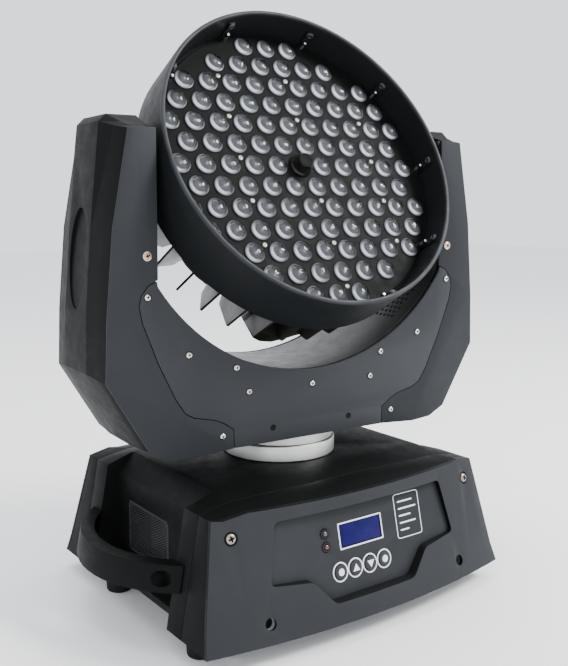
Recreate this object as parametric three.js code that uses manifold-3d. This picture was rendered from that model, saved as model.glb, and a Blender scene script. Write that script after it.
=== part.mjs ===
import * as THREE from "three";
import { mergeVertices } from "three/addons/utils/BufferGeometryUtils.js";
import Module from "manifold-3d";

const wasm = await Module();
wasm.setup();

// Moving head wash light. Millimetres, +Z up, origin on the floor under the pan axis.
// The control panel faces -Y. The head is stored panned and tilted as it was set down.

// Driving dimensions
const PITCH = 27;
const LENS_R = 0.37 * PITCH;
const PAN_DEG = -3.27;
const TILT_DEG = 27.98;
const TILT_Z = 421;
const GAP = 0.3;

// Head, measured from the tilt axis along the beam (-Y when level)
const RING_R = 163.5;
const RING_REAR_R = 165.3;
const RING_WALL = 4.5;
const RING_FRONT = -76;
const RING_BACK = -15;
const PLATE_Y = -43;
const CLIPS = 10;
const FINS = 32;
const FIN_PHASE_DEG = 2.8;
const FIN_HALF_THICK = 1.2;
const FIN_R = 158;
const FIN_TAPER_R = 112;
const FIN_Y = 37;
const FIN_END_Y = 80;
const CORE_R = 42;
const AXLE_R = 9.9;
const HOUSING_R = 90;
const HOUSING_DEPTH = 22;
const HOUSING_MOUTH_R = 44;
const KNOB_R = 12.8;
const LENS_HEIGHT = 5.4;
const FAN_BLADES = 7;
const FAN_R = 37;
const FAN_HUB_R = 16;

// Yoke
const GAP_HALF = 170.3;
const YOKE_HALF_DEPTH = 62;
const SHEET = 2.4;
const WALL = 3.5;
const ARM_TOP = 471;
const ARC_Z = 442;
const ARC_R = 204;
const YOKE_LOW = 169;
const YOKE_LOW_HALF = 91;
const INNER_SHEET = 2.5;
const DISH_HALF_Y = 21;
const DISH_HALF_Z = 47;
const DISH_Z = 355;
const DISH_FLOOR_X = 229.6;
const DISH_LEAN = Math.atan2(8, 76);

// Base
const BASE_TOP = 142;
const EDGE_TOP = 131;
const TOP_HALF_X = 130;
const TOP_HALF_Y = 72;
const SIDE_TOP_X = 165;
const SIDE_LOW_X = 185;
const BASE_LOW = 20;
const TOP_FALL = 0.155;
const PLATE_Z = 34;
const SEAM_Y = 104;
const POCKET_X = 152;
const POCKET_HALF_Y = 79;
const SKIRT_TOP = 40;
const SHOULDER_X = 134;
const SHOULDER_LOW = 121;
const SHOULDER_HIGH = 141;
const VENT_Y = 16.6;
const VENT_HALF_Y = 42;
const VENT_LOW = 43;
const VENT_HIGH = 97;
const FACE_TOP_Y = 122.5;
const FACE_TOP_Z = 133;
const FACE_SLOPE = 0.23;
const FOLD_Z = 38;
const FOLD_SLOPE = 0.36;
const BOW = 16;
const BOW_HALF_X = 172;
const RECESS_SET = 4.5;
const RECESS_CORNER = 5;
const CLAMP_HALF_X = 110;
const CLAMP_HALF_Y = 60;
const CLAMP_PROUD = 4;
const PANEL = 3.5;
const FOOT_X = 162;
const FOOT_FRONT_Y = -102;
const FOOT_REAR_Y = 63;
const FOOT_R = 15;
const HANDLE_LOW = 58;
const HANDLE_HIGH = 83;
const HANDLE_X = 221;
const HANDLE_END_Y = 94;
const HANDLE_THICK = 14;
const COLUMN_R = 20;
const COLUMN_BORE = 13;
const COLLAR_R = 60;

// Drives
const PAN_MOTOR_X = 118;
const PAN_BIG_R = 36;
const PULLEY_Z = 182;
const TILT_MOTOR_Z = 325;
const TILT_BIG_R = 32;
const PULLEY_X = 182;
const SMALL_R = 9;

const group = new THREE.Group();

const SIDE_SLOPE = (SIDE_LOW_X - SIDE_TOP_X) / (EDGE_TOP - BASE_LOW);

// Turns an inside-out surface the right way round
function facing(g) {
  const p = g.attributes.position;
  const index = g.index.array;
  const corner = [new THREE.Vector3(), new THREE.Vector3(), new THREE.Vector3()];
  let volume = 0;
  for (let i = 0; i < index.length; i += 3) {
    corner.forEach((c, k) => c.fromBufferAttribute(p, index[i + k]));
    volume += corner[0].dot(corner[1].cross(corner[2]));
  }
  for (let i = 0; volume < 0 && i < index.length; i += 3) {
    [index[i + 1], index[i + 2]] = [index[i + 2], index[i + 1]];
  }
  return g;
}

function tidy(geometry) {
  const g = geometry.clone();
  g.deleteAttribute("normal");
  g.deleteAttribute("uv");
  return facing(mergeVertices(g, 1e-4));
}

function solid(geometry) {
  const g = tidy(geometry);
  const mesh = new wasm.Mesh({
    numProp: 3,
    vertProperties: new Float32Array(g.attributes.position.array),
    triVerts: new Uint32Array(g.index.array),
  });
  return new wasm.Manifold(mesh);
}

function skin(manifold) {
  const mesh = manifold.getMesh();
  const g = new THREE.BufferGeometry();
  g.setAttribute("position", new THREE.BufferAttribute(new Float32Array(mesh.vertProperties), 3));
  g.setIndex(new THREE.BufferAttribute(new Uint32Array(mesh.triVerts), 1));
  return g;
}

function join(...parts) {
  return parts.map((p) => (p.isBufferGeometry ? solid(p) : p)).reduce((a, b) => a.add(b));
}

function cut(base, ...tools) {
  const body = base.isBufferGeometry ? solid(base) : base;
  return tools.map((p) => (p.isBufferGeometry ? solid(p) : p)).reduce((a, b) => a.subtract(b), body);
}

function box(x0, x1, y0, y1, z0, z1) {
  const g = new THREE.BoxGeometry(x1 - x0, y1 - y0, z1 - z0);
  return g.translate((x0 + x1) / 2, (y0 + y1) / 2, (z0 + z1) / 2);
}

function rod(axis, r, from, to, u, v, segments = 24) {
  const g = new THREE.CylinderGeometry(r, r, to - from, segments);
  const mid = (from + to) / 2;
  if (axis === "x") {
    return g.rotateZ(-Math.PI / 2).translate(mid, u, v);
  }
  if (axis === "z") {
    return g.rotateX(Math.PI / 2).translate(u, v, mid);
  }
  return g.translate(u, mid, v);
}

function outline(points) {
  const s = new THREE.Shape();
  points.forEach(([a, b], i) => (i ? s.lineTo(a, b) : s.moveTo(a, b)));
  s.closePath();
  return s;
}

// Outline in the X-Z plane, solid from y0 to y1
function frontPlate(points, y0, y1) {
  const g = new THREE.ExtrudeGeometry(outline(points), { depth: y1 - y0, bevelEnabled: false });
  return g.rotateX(Math.PI / 2).translate(0, y1, 0);
}

// Outline in the X-Y plane, solid from z0 to z1
function flatPlate(points, z0, z1) {
  const g = new THREE.ExtrudeGeometry(outline(points), { depth: z1 - z0, bevelEnabled: false });
  return g.translate(0, 0, z0);
}

function turned(profile, segments) {
  const points = [...profile, profile[0]].map(([r, h]) => new THREE.Vector2(r, h));
  return new THREE.LatheGeometry(points, segments);
}

// Closed body through equal loops of [x, z], one at each y
function loftY(stations) {
  const n = stations[0].loop.length;
  const positions = [];
  const index = [];
  const flat = stations[0].loop.map(([x, z]) => new THREE.Vector2(x, z));
  const turn = THREE.ShapeUtils.area(flat) > 0 ? 1 : -1;
  stations.forEach(({ y, loop }) => loop.forEach(([x, z]) => positions.push(x, y, z)));
  for (let s = 0; s + 1 < stations.length; s += 1) {
    for (let i = 0; i < n; i += 1) {
      const a = s * n + i;
      const b = s * n + ((i + 1) % n);
      index.push(a, b, b + n, a, b + n, a + n);
    }
  }
  const last = (stations.length - 1) * n;
  THREE.ShapeUtils.triangulateShape(flat, []).forEach((tri) => {
    const way = THREE.ShapeUtils.area(tri.map((k) => flat[k])) > 0 ? 1 : -1;
    const [a, b, c] = way === turn ? tri : [tri[0], tri[2], tri[1]];
    index.push(a, c, b, a + last, b + last, c + last);
  });
  const g = new THREE.BufferGeometry();
  g.setAttribute("position", new THREE.Float32BufferAttribute(positions, 3));
  g.setIndex(new THREE.BufferAttribute(new Uint32Array(index), 1));
  return facing(g);
}

// Closed body between two surfaces y = front(x, z) and y = back(x, z)
function slab(front, back, xs, zs) {
  const nx = xs.length;
  const nz = zs.length;
  const positions = [];
  const index = [];
  [front, back].forEach((f) => zs.forEach((z) => xs.forEach((x) => positions.push(x, f(x, z), z))));
  const at = (k, i, j) => k * nx * nz + j * nx + i;
  const quad = (a, b, c, d) => index.push(a, b, c, a, c, d);
  for (let j = 0; j + 1 < nz; j += 1) {
    for (let i = 0; i + 1 < nx; i += 1) {
      quad(at(0, i, j), at(0, i + 1, j), at(0, i + 1, j + 1), at(0, i, j + 1));
      quad(at(1, i, j), at(1, i, j + 1), at(1, i + 1, j + 1), at(1, i + 1, j));
    }
  }
  for (let i = 0; i + 1 < nx; i += 1) {
    quad(at(0, i, 0), at(1, i, 0), at(1, i + 1, 0), at(0, i + 1, 0));
    quad(at(0, i, nz - 1), at(0, i + 1, nz - 1), at(1, i + 1, nz - 1), at(1, i, nz - 1));
  }
  for (let j = 0; j + 1 < nz; j += 1) {
    quad(at(0, 0, j), at(0, 0, j + 1), at(1, 0, j + 1), at(1, 0, j));
    quad(at(0, nx - 1, j), at(1, nx - 1, j), at(1, nx - 1, j + 1), at(0, nx - 1, j + 1));
  }
  const g = new THREE.BufferGeometry();
  g.setAttribute("position", new THREE.Float32BufferAttribute(positions, 3));
  g.setIndex(new THREE.BufferAttribute(new Uint32Array(index), 1));
  return facing(g);
}

function steps(from, to, count) {
  return Array.from({ length: count + 1 }, (_, i) => from + ((to - from) * i) / count);
}

function arc(cx, cz, r, from, to, count) {
  return steps(from, to, count).map((deg) => {
    const a = THREE.MathUtils.degToRad(deg);
    return [cx + r * Math.cos(a), cz + r * Math.sin(a)];
  });
}

function mirrorX(g) {
  const m = tidy(g).scale(-1, 1, 1);
  return facing(m);
}

function halfTurn(g) {
  return g.clone().rotateZ(Math.PI);
}

const PAN = new THREE.Matrix4().makeRotationZ(THREE.MathUtils.degToRad(PAN_DEG));
const HEAD = PAN.clone()
  .multiply(new THREE.Matrix4().makeTranslation(0, 0, TILT_Z))
  .multiply(new THREE.Matrix4().makeRotationX(THREE.MathUtils.degToRad(-TILT_DEG)));
const STILL = new THREE.Matrix4();

function add(name, shape, look, place = STILL) {
  let g = shape.isBufferGeometry ? shape : skin(shape);
  g = tidy(g);
  g.applyMatrix4(place);
  g.computeVertexNormals();
  const [color, roughness, metalness] = look;
  const material = new THREE.MeshStandardMaterial({ color, roughness, metalness });
  if (look === LOOK.lens) {
    material.transparent = true;
    material.opacity = 0.45;
  }
  const mesh = new THREE.Mesh(g, material);
  mesh.name = name;
  group.add(mesh);
}

const LOOK = {
  black: [0x262827, 0.62, 0.0],
  grey: [0x4a4f57, 0.55, 0.1],
  sheet: [0x6a6f78, 0.5, 0.2],
  face: [0x3c3e40, 0.6, 0.2],
  lens: [0xdfe6ee, 0.08, 0.0],
  gloss: [0x0c0c0d, 0.15, 0.0],
  alloy: [0x2e3030, 0.6, 0.5],
  bright: [0xc9cbcc, 0.35, 0.8],
  pale: [0xc4c5c3, 0.5, 0.1],
  steel: [0x8d9094, 0.45, 0.8],
  rubber: [0x161616, 0.9, 0.0],
  screen: [0x2a2a96, 0.2, 0.0],
  white: [0xe4e6e8, 0.4, 0.0],
  red: [0x6a1d20, 0.25, 0.0],
  clear: [0x9aa0a4, 0.2, 0.0],
  board: [0x1f5a36, 0.6, 0.0],
  belt: [0x1b1b1c, 0.8, 0.0],
};

// ---------------------------------------------------------------- base

function baseLoop(y, inset) {
  const far = Math.abs(y) - TOP_HALF_Y;
  const top = far > 0 ? BASE_TOP - TOP_FALL * far : BASE_TOP;
  const low = BASE_LOW - (inset ? 5 : 0);
  const lowX = SIDE_TOP_X + SIDE_SLOPE * (EDGE_TOP - low);
  return [
    [-lowX + inset, low],
    [lowX - inset, low],
    [SIDE_TOP_X - inset, EDGE_TOP - inset],
    [TOP_HALF_X - inset, top - inset],
    [-TOP_HALF_X + inset, top - inset],
    [-SIDE_TOP_X + inset, EDGE_TOP - inset],
  ];
}

function baseBlock(ys, inset = 0) {
  return loftY(ys.map((y) => ({ y, loop: baseLoop(y, inset) })));
}

function sideX(z) {
  return SIDE_TOP_X + SIDE_SLOPE * (EDGE_TOP - z);
}

function faceY(z) {
  const upper = FACE_TOP_Y + FACE_SLOPE * (FACE_TOP_Z - Math.max(z, FOLD_Z));
  return upper + FOLD_SLOPE * Math.max(0, FOLD_Z - z);
}

function bowed(back) {
  return (x, z) => -(faceY(z) + BOW * (1 - (x / BOW_HALF_X) ** 2)) + back;
}

function floorY(back) {
  return (x, z) => -(FACE_TOP_Y + FACE_SLOPE * (FACE_TOP_Z - z) + RECESS_SET) + back;
}

// Outline of the narrow middle of the base in X-Z: upright walls under sloped shoulders
function waist(x, low, inset) {
  const top = [[SHOULDER_X - inset, SHOULDER_HIGH - inset], [-SHOULDER_X + inset, SHOULDER_HIGH - inset]];
  return [[-x, low], [x, low], [x, SHOULDER_LOW - inset / 2], ...top, [-x, SHOULDER_LOW - inset / 2]];
}

// What is cut away outside the waist on one side, up through the top
function pocket(s) {
  const half = POCKET_HALF_Y;
  const loop = [
    [POCKET_X, SKIRT_TOP], [200, SKIRT_TOP], [200, 160], [SHOULDER_X, 160],
    [SHOULDER_X, SHOULDER_HIGH], [POCKET_X, SHOULDER_LOW],
  ];
  const wedge = frontPlate(loop, -half, half);
  return s > 0 ? wedge : mirrorX(wedge);
}

function baseShell() {
  const outer = solid(baseBlock([-SEAM_Y, -TOP_HALF_Y, TOP_HALF_Y, SEAM_Y]));
  const inner = solid(baseBlock([-SEAM_Y - 1, -TOP_HALF_Y, TOP_HALF_Y, SEAM_Y + 1], WALL));
  const half = POCKET_HALF_Y;
  const core = solid(frontPlate(waist(POCKET_X - WALL, 0, WALL), -SEAM_Y, SEAM_Y));
  const band = solid(box(-200, 200, -half - WALL, half + WALL, 0, 200));
  const walls = outer.intersect(band).subtract(core);
  const windows = [-1, 1].map((s) => {
    const x = s * POCKET_X;
    return box(x - 10, x + 10, VENT_Y - VENT_HALF_Y, VENT_Y + VENT_HALF_Y, VENT_LOW, VENT_HIGH);
  });
  const under = box(-200, 200, -half, half, 0, PLATE_Z);
  const cuts = [pocket(1), pocket(-1), ...windows, under, rod("z", 30, 120, 150, 0, 0, 32)];
  return cut(outer.subtract(inner).add(walls), ...cuts);
}

function bottomPlate() {
  const x = POCKET_X - WALL - 0.6;
  const corner = [[176, -138], [176, -84], [x, -84], [x, 84], [176, 84], [176, 138]];
  const other = corner.map(([a, b]) => [-a, -b]);
  const face = PLATE_Z - CLAMP_PROUD;
  const pad = box(-CLAMP_HALF_X, CLAMP_HALF_X, -CLAMP_HALF_Y, CLAMP_HALF_Y, face, PLATE_Z + 1);
  return join(flatPlate([...corner, ...other], PLATE_Z, PLATE_Z + 3), pad);
}

const FAR_Y = 176;

function cover() {
  const ys = [-FAR_Y, -SEAM_Y - GAP];
  const outer = solid(baseBlock(ys));
  const inner = solid(baseBlock([-FAR_Y - 1, -SEAM_Y + 1], WALL));
  const deep = slab(bowed(PANEL + GAP), () => -90, steps(-196, 196, 14), [5, FOLD_Z, 150]);
  return outer.intersect(solid(deep)).subtract(inner);
}

function facePanel(recess, holes) {
  const outer = solid(baseBlock([-FAR_Y, -SEAM_Y]));
  const xs = steps(-196, 196, 14);
  const front = solid(slab(bowed(0), bowed(PANEL), xs, [5, FOLD_Z, 150])).intersect(outer);
  const grown = growLoop(recess, 3);
  const behind = solid(slab(bowed(0.4), floorY(3), xs, [5, FOLD_Z, 150]));
  const tray = solid(frontPlate(grown, -200, -90)).intersect(behind).intersect(outer);
  const open = solid(slab(() => -200, floorY(0), [-196, 196], [5, 150]));
  const hollow = solid(frontPlate(recess, -200, -90)).intersect(open);
  let panel = front.add(tray).subtract(hollow);
  holes.forEach((h) => {
    panel = cut(panel, h);
  });
  return panel;
}

// Pushes each corner of a closed outline out by d
function growLoop(points, d) {
  const n = points.length;
  const sign = THREE.ShapeUtils.area(points.map(([x, y]) => new THREE.Vector2(x, y))) > 0 ? 1 : -1;
  return points.map((p, i) => {
    const a = points[(i + n - 1) % n];
    const b = points[(i + 1) % n];
    const u = new THREE.Vector2(p[0] - a[0], p[1] - a[1]).normalize();
    const v = new THREE.Vector2(b[0] - p[0], b[1] - p[1]).normalize();
    const m = new THREE.Vector2(u.y + v.y, -u.x - v.x).multiplyScalar(sign);
    const k = d / Math.max(0.4, (1 + u.dot(v)));
    return [p[0] + m.x * k, p[1] + m.y * k];
  });
}

// Rounds each corner of a closed outline with a short curve of 4 steps
function roundLoop(points, r) {
  const n = points.length;
  return points.flatMap((p, i) => {
    const corner = new THREE.Vector2(...p);
    const back = new THREE.Vector2(...points[(i + n - 1) % n]).sub(corner).normalize().multiplyScalar(r);
    const on = new THREE.Vector2(...points[(i + 1) % n]).sub(corner).normalize().multiplyScalar(r);
    const curve = new THREE.QuadraticBezierCurve(back.add(corner), corner, on.add(corner));
    return curve.getPoints(4).map((q) => [q.x, q.y]);
  });
}

const RECESS = [
  [-105, 121], [105, 121], [116, 67], [72, 62], [50, 38], [-50, 38], [-72, 62], [-116, 67],
];
const REAR_RECESS = [
  [-120, 112], [120, 112], [120, 50], [-120, 50],
];
const DISPLAY = { x: -2.3, z: 90.6, w: 52, h: 21.6 };
const BUTTON = { x: -33.4, z: 59.4, pitch: 18.6, r: 7.2, count: 4 };
const LAMP = { x: -46.4, z: [97, 85], r: 3.2 };
const UPPER_SCREW = [148.5, 114];
const LOWER_SCREW = [121, 36.6];

// Places a shape drawn at y = 0 on the recess floor at height z, square to it
function onFloor(g, x, z, proud) {
  const lean = Math.atan(FACE_SLOPE);
  return g.clone().rotateX(-lean).translate(x, floorY(0)(x, z) - proud, z);
}

function onFace(g, x, z, proud) {
  const lean = Math.atan(FACE_SLOPE);
  const turn = Math.atan((-2 * BOW * x) / BOW_HALF_X ** 2);
  return g.clone().rotateZ(-turn).rotateX(-lean).translate(x, bowed(0)(x, z) - proud, z);
}

function buttonX(i) {
  return BUTTON.x + BUTTON.pitch * i;
}

function frontHoles() {
  const holes = [];
  const window = box(-DISPLAY.w / 2, DISPLAY.w / 2, -20, 20, -DISPLAY.h / 2, DISPLAY.h / 2);
  holes.push(onFloor(window, DISPLAY.x, DISPLAY.z, 0));
  for (let i = 0; i < BUTTON.count; i += 1) {
    holes.push(onFloor(rod("y", BUTTON.r + 0.5, -20, 20, 0, 0, 16), buttonX(i), BUTTON.z, 0));
  }
  LAMP.z.forEach((z) => holes.push(onFloor(rod("y", LAMP.r + GAP, -20, 20, 0, 0, 12), LAMP.x, z, 0)));
  return [...holes, ...screwWells()];
}

function screwWells() {
  return [-1, 1].flatMap((s) => [
    onFace(rod("y", 2.6, -20, 20, 0, 0, 12), s * UPPER_SCREW[0], UPPER_SCREW[1], 0),
    onFace(rod("y", 6.5, -20, 1.5, 0, 0, 16), s * UPPER_SCREW[0], UPPER_SCREW[1], 0),
    onFace(rod("y", 5.5, -20, 20, 0, 0, 16), s * LOWER_SCREW[0], LOWER_SCREW[1], 0),
  ]);
}

function panHead() {
  const head = turned([[0, 1.2], [4.9, 1.2], [4.4, -1], [2.8, -2.2], [0, -2.2]], 12);
  return join(head, rod("y", 2.2, 1, 14, 0, 0, 8));
}

const SOCKETS = [
  { name: "signal_in", x: -72, w: 30, h: 34 },
  { name: "signal_out", x: -28, w: 30, h: 34 },
  { name: "power_inlet", x: 56, w: 54, h: 34 },
];
const SOCKET_Z = 81;

function rearHoles() {
  const holes = SOCKETS.map((s) => {
    const opening = box(-s.w / 2 + 3, s.w / 2 - 3, -20, 20, -s.h / 2 + 3, s.h / 2 - 3);
    return onFloor(opening, s.x, SOCKET_Z, 0);
  });
  return [...holes, ...screwWells()];
}

function socket({ x, w, h, name }) {
  const flange = box(-w / 2, w / 2, -2, -GAP, -h / 2, h / 2);
  const barrel = box(-w / 2 + 3.4, w / 2 - 3.4, -1, 22, -h / 2 + 3.4, h / 2 - 3.4);
  const body = join(flange, barrel);
  if (name === "power_inlet") {
    const well = box(-w / 2 + 6, 6, -5, 16, -h / 2 + 6, h / 2 - 6);
    const fuse = box(10, w / 2 - 6, -5, 1, -h / 2 + 8, h / 2 - 8);
    const pins = [-8, 0, 8].map((p) => box(p - 10, p - 8, 2, 17, -2.5, 2.5));
    return onFloor(skin(join(cut(body, well, fuse), ...pins)), x, SOCKET_Z, 0);
  }
  const round = rod("y", 9.5, -5, 15, 0, 0, 24);
  const pins = [-4, 0, 4].map((p) => rod("y", 1.1, 3, 16, p, p ? 2 : -3.5, 8));
  return onFloor(skin(join(cut(body, round), ...pins)), x, SOCKET_Z, 0);
}

function handle() {
  const chord = HANDLE_END_Y;
  const endX = sideX(HANDLE_HIGH) + GAP + 1.4;
  const rise = HANDLE_X - endX;
  const r = (chord * chord + rise * rise) / (2 * rise);
  const cx = HANDLE_X - r;
  const inner = r - HANDLE_THICK;
  const reach = THREE.MathUtils.radToDeg(Math.asin(chord / r));
  const stop = THREE.MathUtils.radToDeg(Math.acos((endX - 1.4 - cx) / inner));
  const outside = arc(cx, 0, r, -reach, reach, 18);
  const inside = arc(cx, 0, inner, stop, -stop, 16);
  const ends = [[endX - 1.4, chord], ...inside, [endX - 1.4, -chord]];
  const bar = flatPlate([...outside, ...ends], HANDLE_LOW, HANDLE_HIGH);
  const p = bar.attributes.position;
  for (let i = 0; i < p.count; i += 1) {
    p.setX(i, p.getX(i) + SIDE_SLOPE * (HANDLE_HIGH - p.getZ(i)));
  }
  const mid = (HANDLE_LOW + HANDLE_HIGH) / 2;
  const wells = [-1, 1].map((s) => rod("x", 7.5, 184, 230, s * 81, mid, 20));
  return cut(bar, ...wells);
}

function vent() {
  const edge = (d) => [VENT_Y - VENT_HALF_Y + d, VENT_Y + VENT_HALF_Y - d, VENT_LOW + d, VENT_HIGH - d];
  const frame = box(POCKET_X - 2.2, POCKET_X - GAP, ...edge(GAP));
  const middle = (VENT_LOW + VENT_HIGH) / 2;
  const slots = [];
  for (let i = -3; i <= 3; i += 1) {
    const slot = new THREE.BoxGeometry(12, 6, 120).rotateX(1.1).translate(POCKET_X, VENT_Y, middle + i * 15);
    slots.push(solid(slot).intersect(solid(box(POCKET_X - 9, POCKET_X + 9, ...edge(4)))));
  }
  return cut(frame, ...slots);
}

function foot() {
  return turned([[0, 0], [FOOT_R - 2, 0], [FOOT_R, PLATE_Z - GAP], [0, PLATE_Z - GAP]], 16)
    .rotateX(Math.PI / 2);
}

function panColumn() {
  const profile = [
    [COLUMN_BORE, 126], [COLUMN_R + 8, 126], [COLUMN_R + 8, BASE_TOP + GAP], [COLLAR_R, BASE_TOP + GAP],
    [COLLAR_R, 157], [COLLAR_R - 2, 158.5], [COLUMN_R, 158.5], [COLUMN_R, PULLEY_Z],
    [PAN_BIG_R + 1.6, PULLEY_Z], [PAN_BIG_R + 1.6, PULLEY_Z + 1.2], [PAN_BIG_R, PULLEY_Z + 1.2],
    [PAN_BIG_R, PULLEY_Z + 8.8], [PAN_BIG_R + 1.6, PULLEY_Z + 8.8], [PAN_BIG_R + 1.6, PULLEY_Z + 10],
    [COLUMN_R - 2, PULLEY_Z + 10], [COLUMN_R - 2, 200], [COLUMN_BORE, 200],
  ];
  return turned(profile, 24).rotateX(Math.PI / 2);
}

add("base_shell", baseShell(), LOOK.black);
add("front_cover", cover(), LOOK.black);
add("rear_cover", halfTurn(skin(cover())), LOOK.black);
add("control_panel", facePanel(roundLoop(RECESS, RECESS_CORNER), frontHoles()), LOOK.grey);
add("rear_panel", halfTurn(skin(facePanel(roundLoop(REAR_RECESS, RECESS_CORNER), rearHoles()))), LOOK.grey);
add("bottom_plate", bottomPlate(), LOOK.steel);
add("handle_right", handle(), LOOK.black);
add("handle_left", mirrorX(skin(handle())), LOOK.black);
add("vent_right", vent(), LOOK.black);
add("vent_left", mirrorX(skin(vent())), LOOK.black);
add("foot_front_left", foot().translate(-FOOT_X, FOOT_FRONT_Y, 0), LOOK.rubber);
add("foot_front_right", foot().translate(FOOT_X, FOOT_FRONT_Y, 0), LOOK.rubber);
add("foot_rear_left", foot().translate(-FOOT_X, FOOT_REAR_Y, 0), LOOK.rubber);
add("foot_rear_right", foot().translate(FOOT_X, FOOT_REAR_Y, 0), LOOK.rubber);
add("power_supply", box(-125, -35, -60, 60, PLATE_Z + 3 + GAP, 84), LOOK.bright);
add("control_board", box(-60, 60, -100, -98, 50, 112), LOOK.board);
add("pan_column", panColumn(), LOOK.pale);

const glassX = DISPLAY.w / 2 - GAP;
const glassZ = DISPLAY.h / 2 - GAP;
const glass = box(-glassX, glassX, 0.4, 4, -glassZ, glassZ);
add("display", onFloor(glass, DISPLAY.x, DISPLAY.z, 0), LOOK.screen);
const lamp = turned([[0, 6], [LAMP.r, 6], [LAMP.r, -0.6], [LAMP.r * 0.6, -2.2], [0, -2.2]], 12);
add("indicator_signal", onFloor(lamp, LAMP.x, LAMP.z[0], 0), LOOK.clear);
add("indicator_sound", onFloor(lamp, LAMP.x, LAMP.z[1], 0), LOOK.red);
const cap = rod("y", BUTTON.r, -1.6, 6, 0, 0, 16);
["enter", "up", "down", "menu"].forEach((name, i) => {
  add(`button_${name}`, onFloor(cap, buttonX(i), BUTTON.z, 0), LOOK.white);
});
[-1, 1].forEach((s) => {
  const place = onFace(skin(panHead()), s * UPPER_SCREW[0], UPPER_SCREW[1], -0.1);
  add(s < 0 ? "cover_screw_left" : "cover_screw_right", place, LOOK.bright);
});
SOCKETS.forEach((s) => add(s.name, halfTurn(socket(s)), LOOK.black));

// ---------------------------------------------------------------- yoke

const ARM_FACE = [
  [190, ARM_TOP], [197, ARM_TOP - 1], [213, 382], [220, 302], [222, 246],
  [181, 178], [161, 168], [136, 166], [YOKE_LOW_HALF + 0.9, YOKE_LOW],
];
const ARM_BULGE = [
  [13, 13], [13, 7], [7, -2], [6, 2], [5, 4], [3, -1], [2, -1], [1, -1], [0, -1],
];
const PLATE_EDGE = [
  [171.5, 335], [180, 331], [187, 322], [189, 313], [186, 298], [171, 260],
  [154, 225], [144, 210], [135, 205], [113, 200], [102, 195], [92, 188],
];
const INNER_FLOOR = ARC_R - GAP;
// Depth of each arm section and its share of the bulge
const SHELL_HALF = YOKE_HALF_DEPTH - SHEET - GAP;
const ARM_STATIONS = [[-SHELL_HALF, 0], [-43, 0.4], [-27, 1], [27, 1], [43, 0.4], [SHELL_HALF, 0]];

function armLine(share) {
  return ARM_FACE.map(([x, z], i) => [x + ARM_BULGE[i][0] * share, z + ARM_BULGE[i][1] * share]);
}

function offsetLine(points, d) {
  return points.map((p, i) => {
    const a = points[Math.max(0, i - 1)];
    const b = points[Math.min(points.length - 1, i + 1)];
    const t = new THREE.Vector2(b[0] - a[0], b[1] - a[1]).normalize();
    return [p[0] + t.y * d, p[1] - t.x * d];
  });
}

function arcAngle(x, r) {
  return THREE.MathUtils.radToDeg(Math.acos(x / r));
}

function armShell() {
  const r = INNER_FLOOR + INNER_SHEET + 0.6;
  const x = GAP_HALF + INNER_SHEET + 0.6;
  const back = arc(0, ARC_Z, r, -arcAngle(YOKE_LOW_HALF + 0.9, r), -arcAngle(x, r), 8);
  const outer = ARM_STATIONS.map(([y, share]) => {
    const line = armLine(share);
    return { y, loop: [[x, line[0][1]], ...line, ...back] };
  });
  const through = [[-SHELL_HALF - 5, 0], ...ARM_STATIONS, [SHELL_HALF + 5, 0]];
  const inner = through.map(([y, share]) => {
    const line = offsetLine(armLine(share), WALL);
    const far = [[60, line[line.length - 1][1]], [60, line[0][1]]];
    return { y, loop: [...line, ...far] };
  });
  const shell = cut(loftY(outer), loftY(inner));
  return cut(shell, ovalDish());
}

function ovalDish() {
  const dish = new THREE.CylinderGeometry(1, 1, 20, 32).scale(DISH_HALF_Y, 1, DISH_HALF_Z);
  return dish.rotateZ(-Math.PI / 2).rotateY(-DISH_LEAN).translate(DISH_FLOOR_X, 0, DISH_Z);
}

function armPanel() {
  const seam = offsetLine(PLATE_EDGE, -0.7);
  seam[0] = [GAP_HALF, 336.4];
  return [[GAP_HALF, ARM_TOP], ...ARM_FACE, ...seam.reverse()];
}

function crescent() {
  const left = PLATE_EDGE.map(([x, z]) => [-x, z]);
  const top = arcAngle(GAP_HALF, ARC_R);
  const sweep = arc(0, ARC_Z, ARC_R, -top, -180 + top, 36);
  const right = [...PLATE_EDGE].reverse();
  return [[-YOKE_LOW_HALF, YOKE_LOW], [YOKE_LOW_HALF, YOKE_LOW], ...right, ...sweep, ...left];
}

function innerWall() {
  const inside = INNER_FLOOR;
  const outside = INNER_FLOOR + INNER_SHEET;
  const xo = GAP_HALF + INNER_SHEET;
  const a = arcAngle(GAP_HALF, inside);
  const b = arcAngle(xo, outside);
  const near = arc(0, ARC_Z, inside, -a, -180 + a, 36);
  const far = arc(0, ARC_Z, outside, -180 + b, -b, 36);
  const loop = [[GAP_HALF, ARM_TOP], ...near, [-GAP_HALF, ARM_TOP], [-xo, ARM_TOP], ...far, [xo, ARM_TOP]];
  const wall = frontPlate(loop, -YOKE_HALF_DEPTH + 6, YOKE_HALF_DEPTH - 6);
  return cut(wall, rod("x", AXLE_R + 3, -200, 200, 0, TILT_Z));
}

function yokeFrame() {
  const half = [[177.5, 462], [177.5, 215], [155, 175]];
  const line = [...half.map(([x, z]) => [-x, z]), ...[...half].reverse()];
  const path = [...offsetLine(line, 2), ...offsetLine(line, -2).reverse()];
  const frame = frontPlate(path, -40, 40);
  const shafts = rod("x", AXLE_R + 0.4, -200, 200, 0, TILT_Z);
  return cut(frame, shafts, rod("z", COLUMN_R + 1.4, 160, 200, 0, 0, 36));
}

function yokeHub() {
  const profile = [
    [COLUMN_R + 0.4, 159], [COLLAR_R - 2, 159], [COLLAR_R - 2, 168.7], [30, 168.7],
    [30, 172.6], [COLUMN_R + 0.4, 172.6],
  ];
  return turned(profile, 24).rotateX(Math.PI / 2);
}

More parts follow.
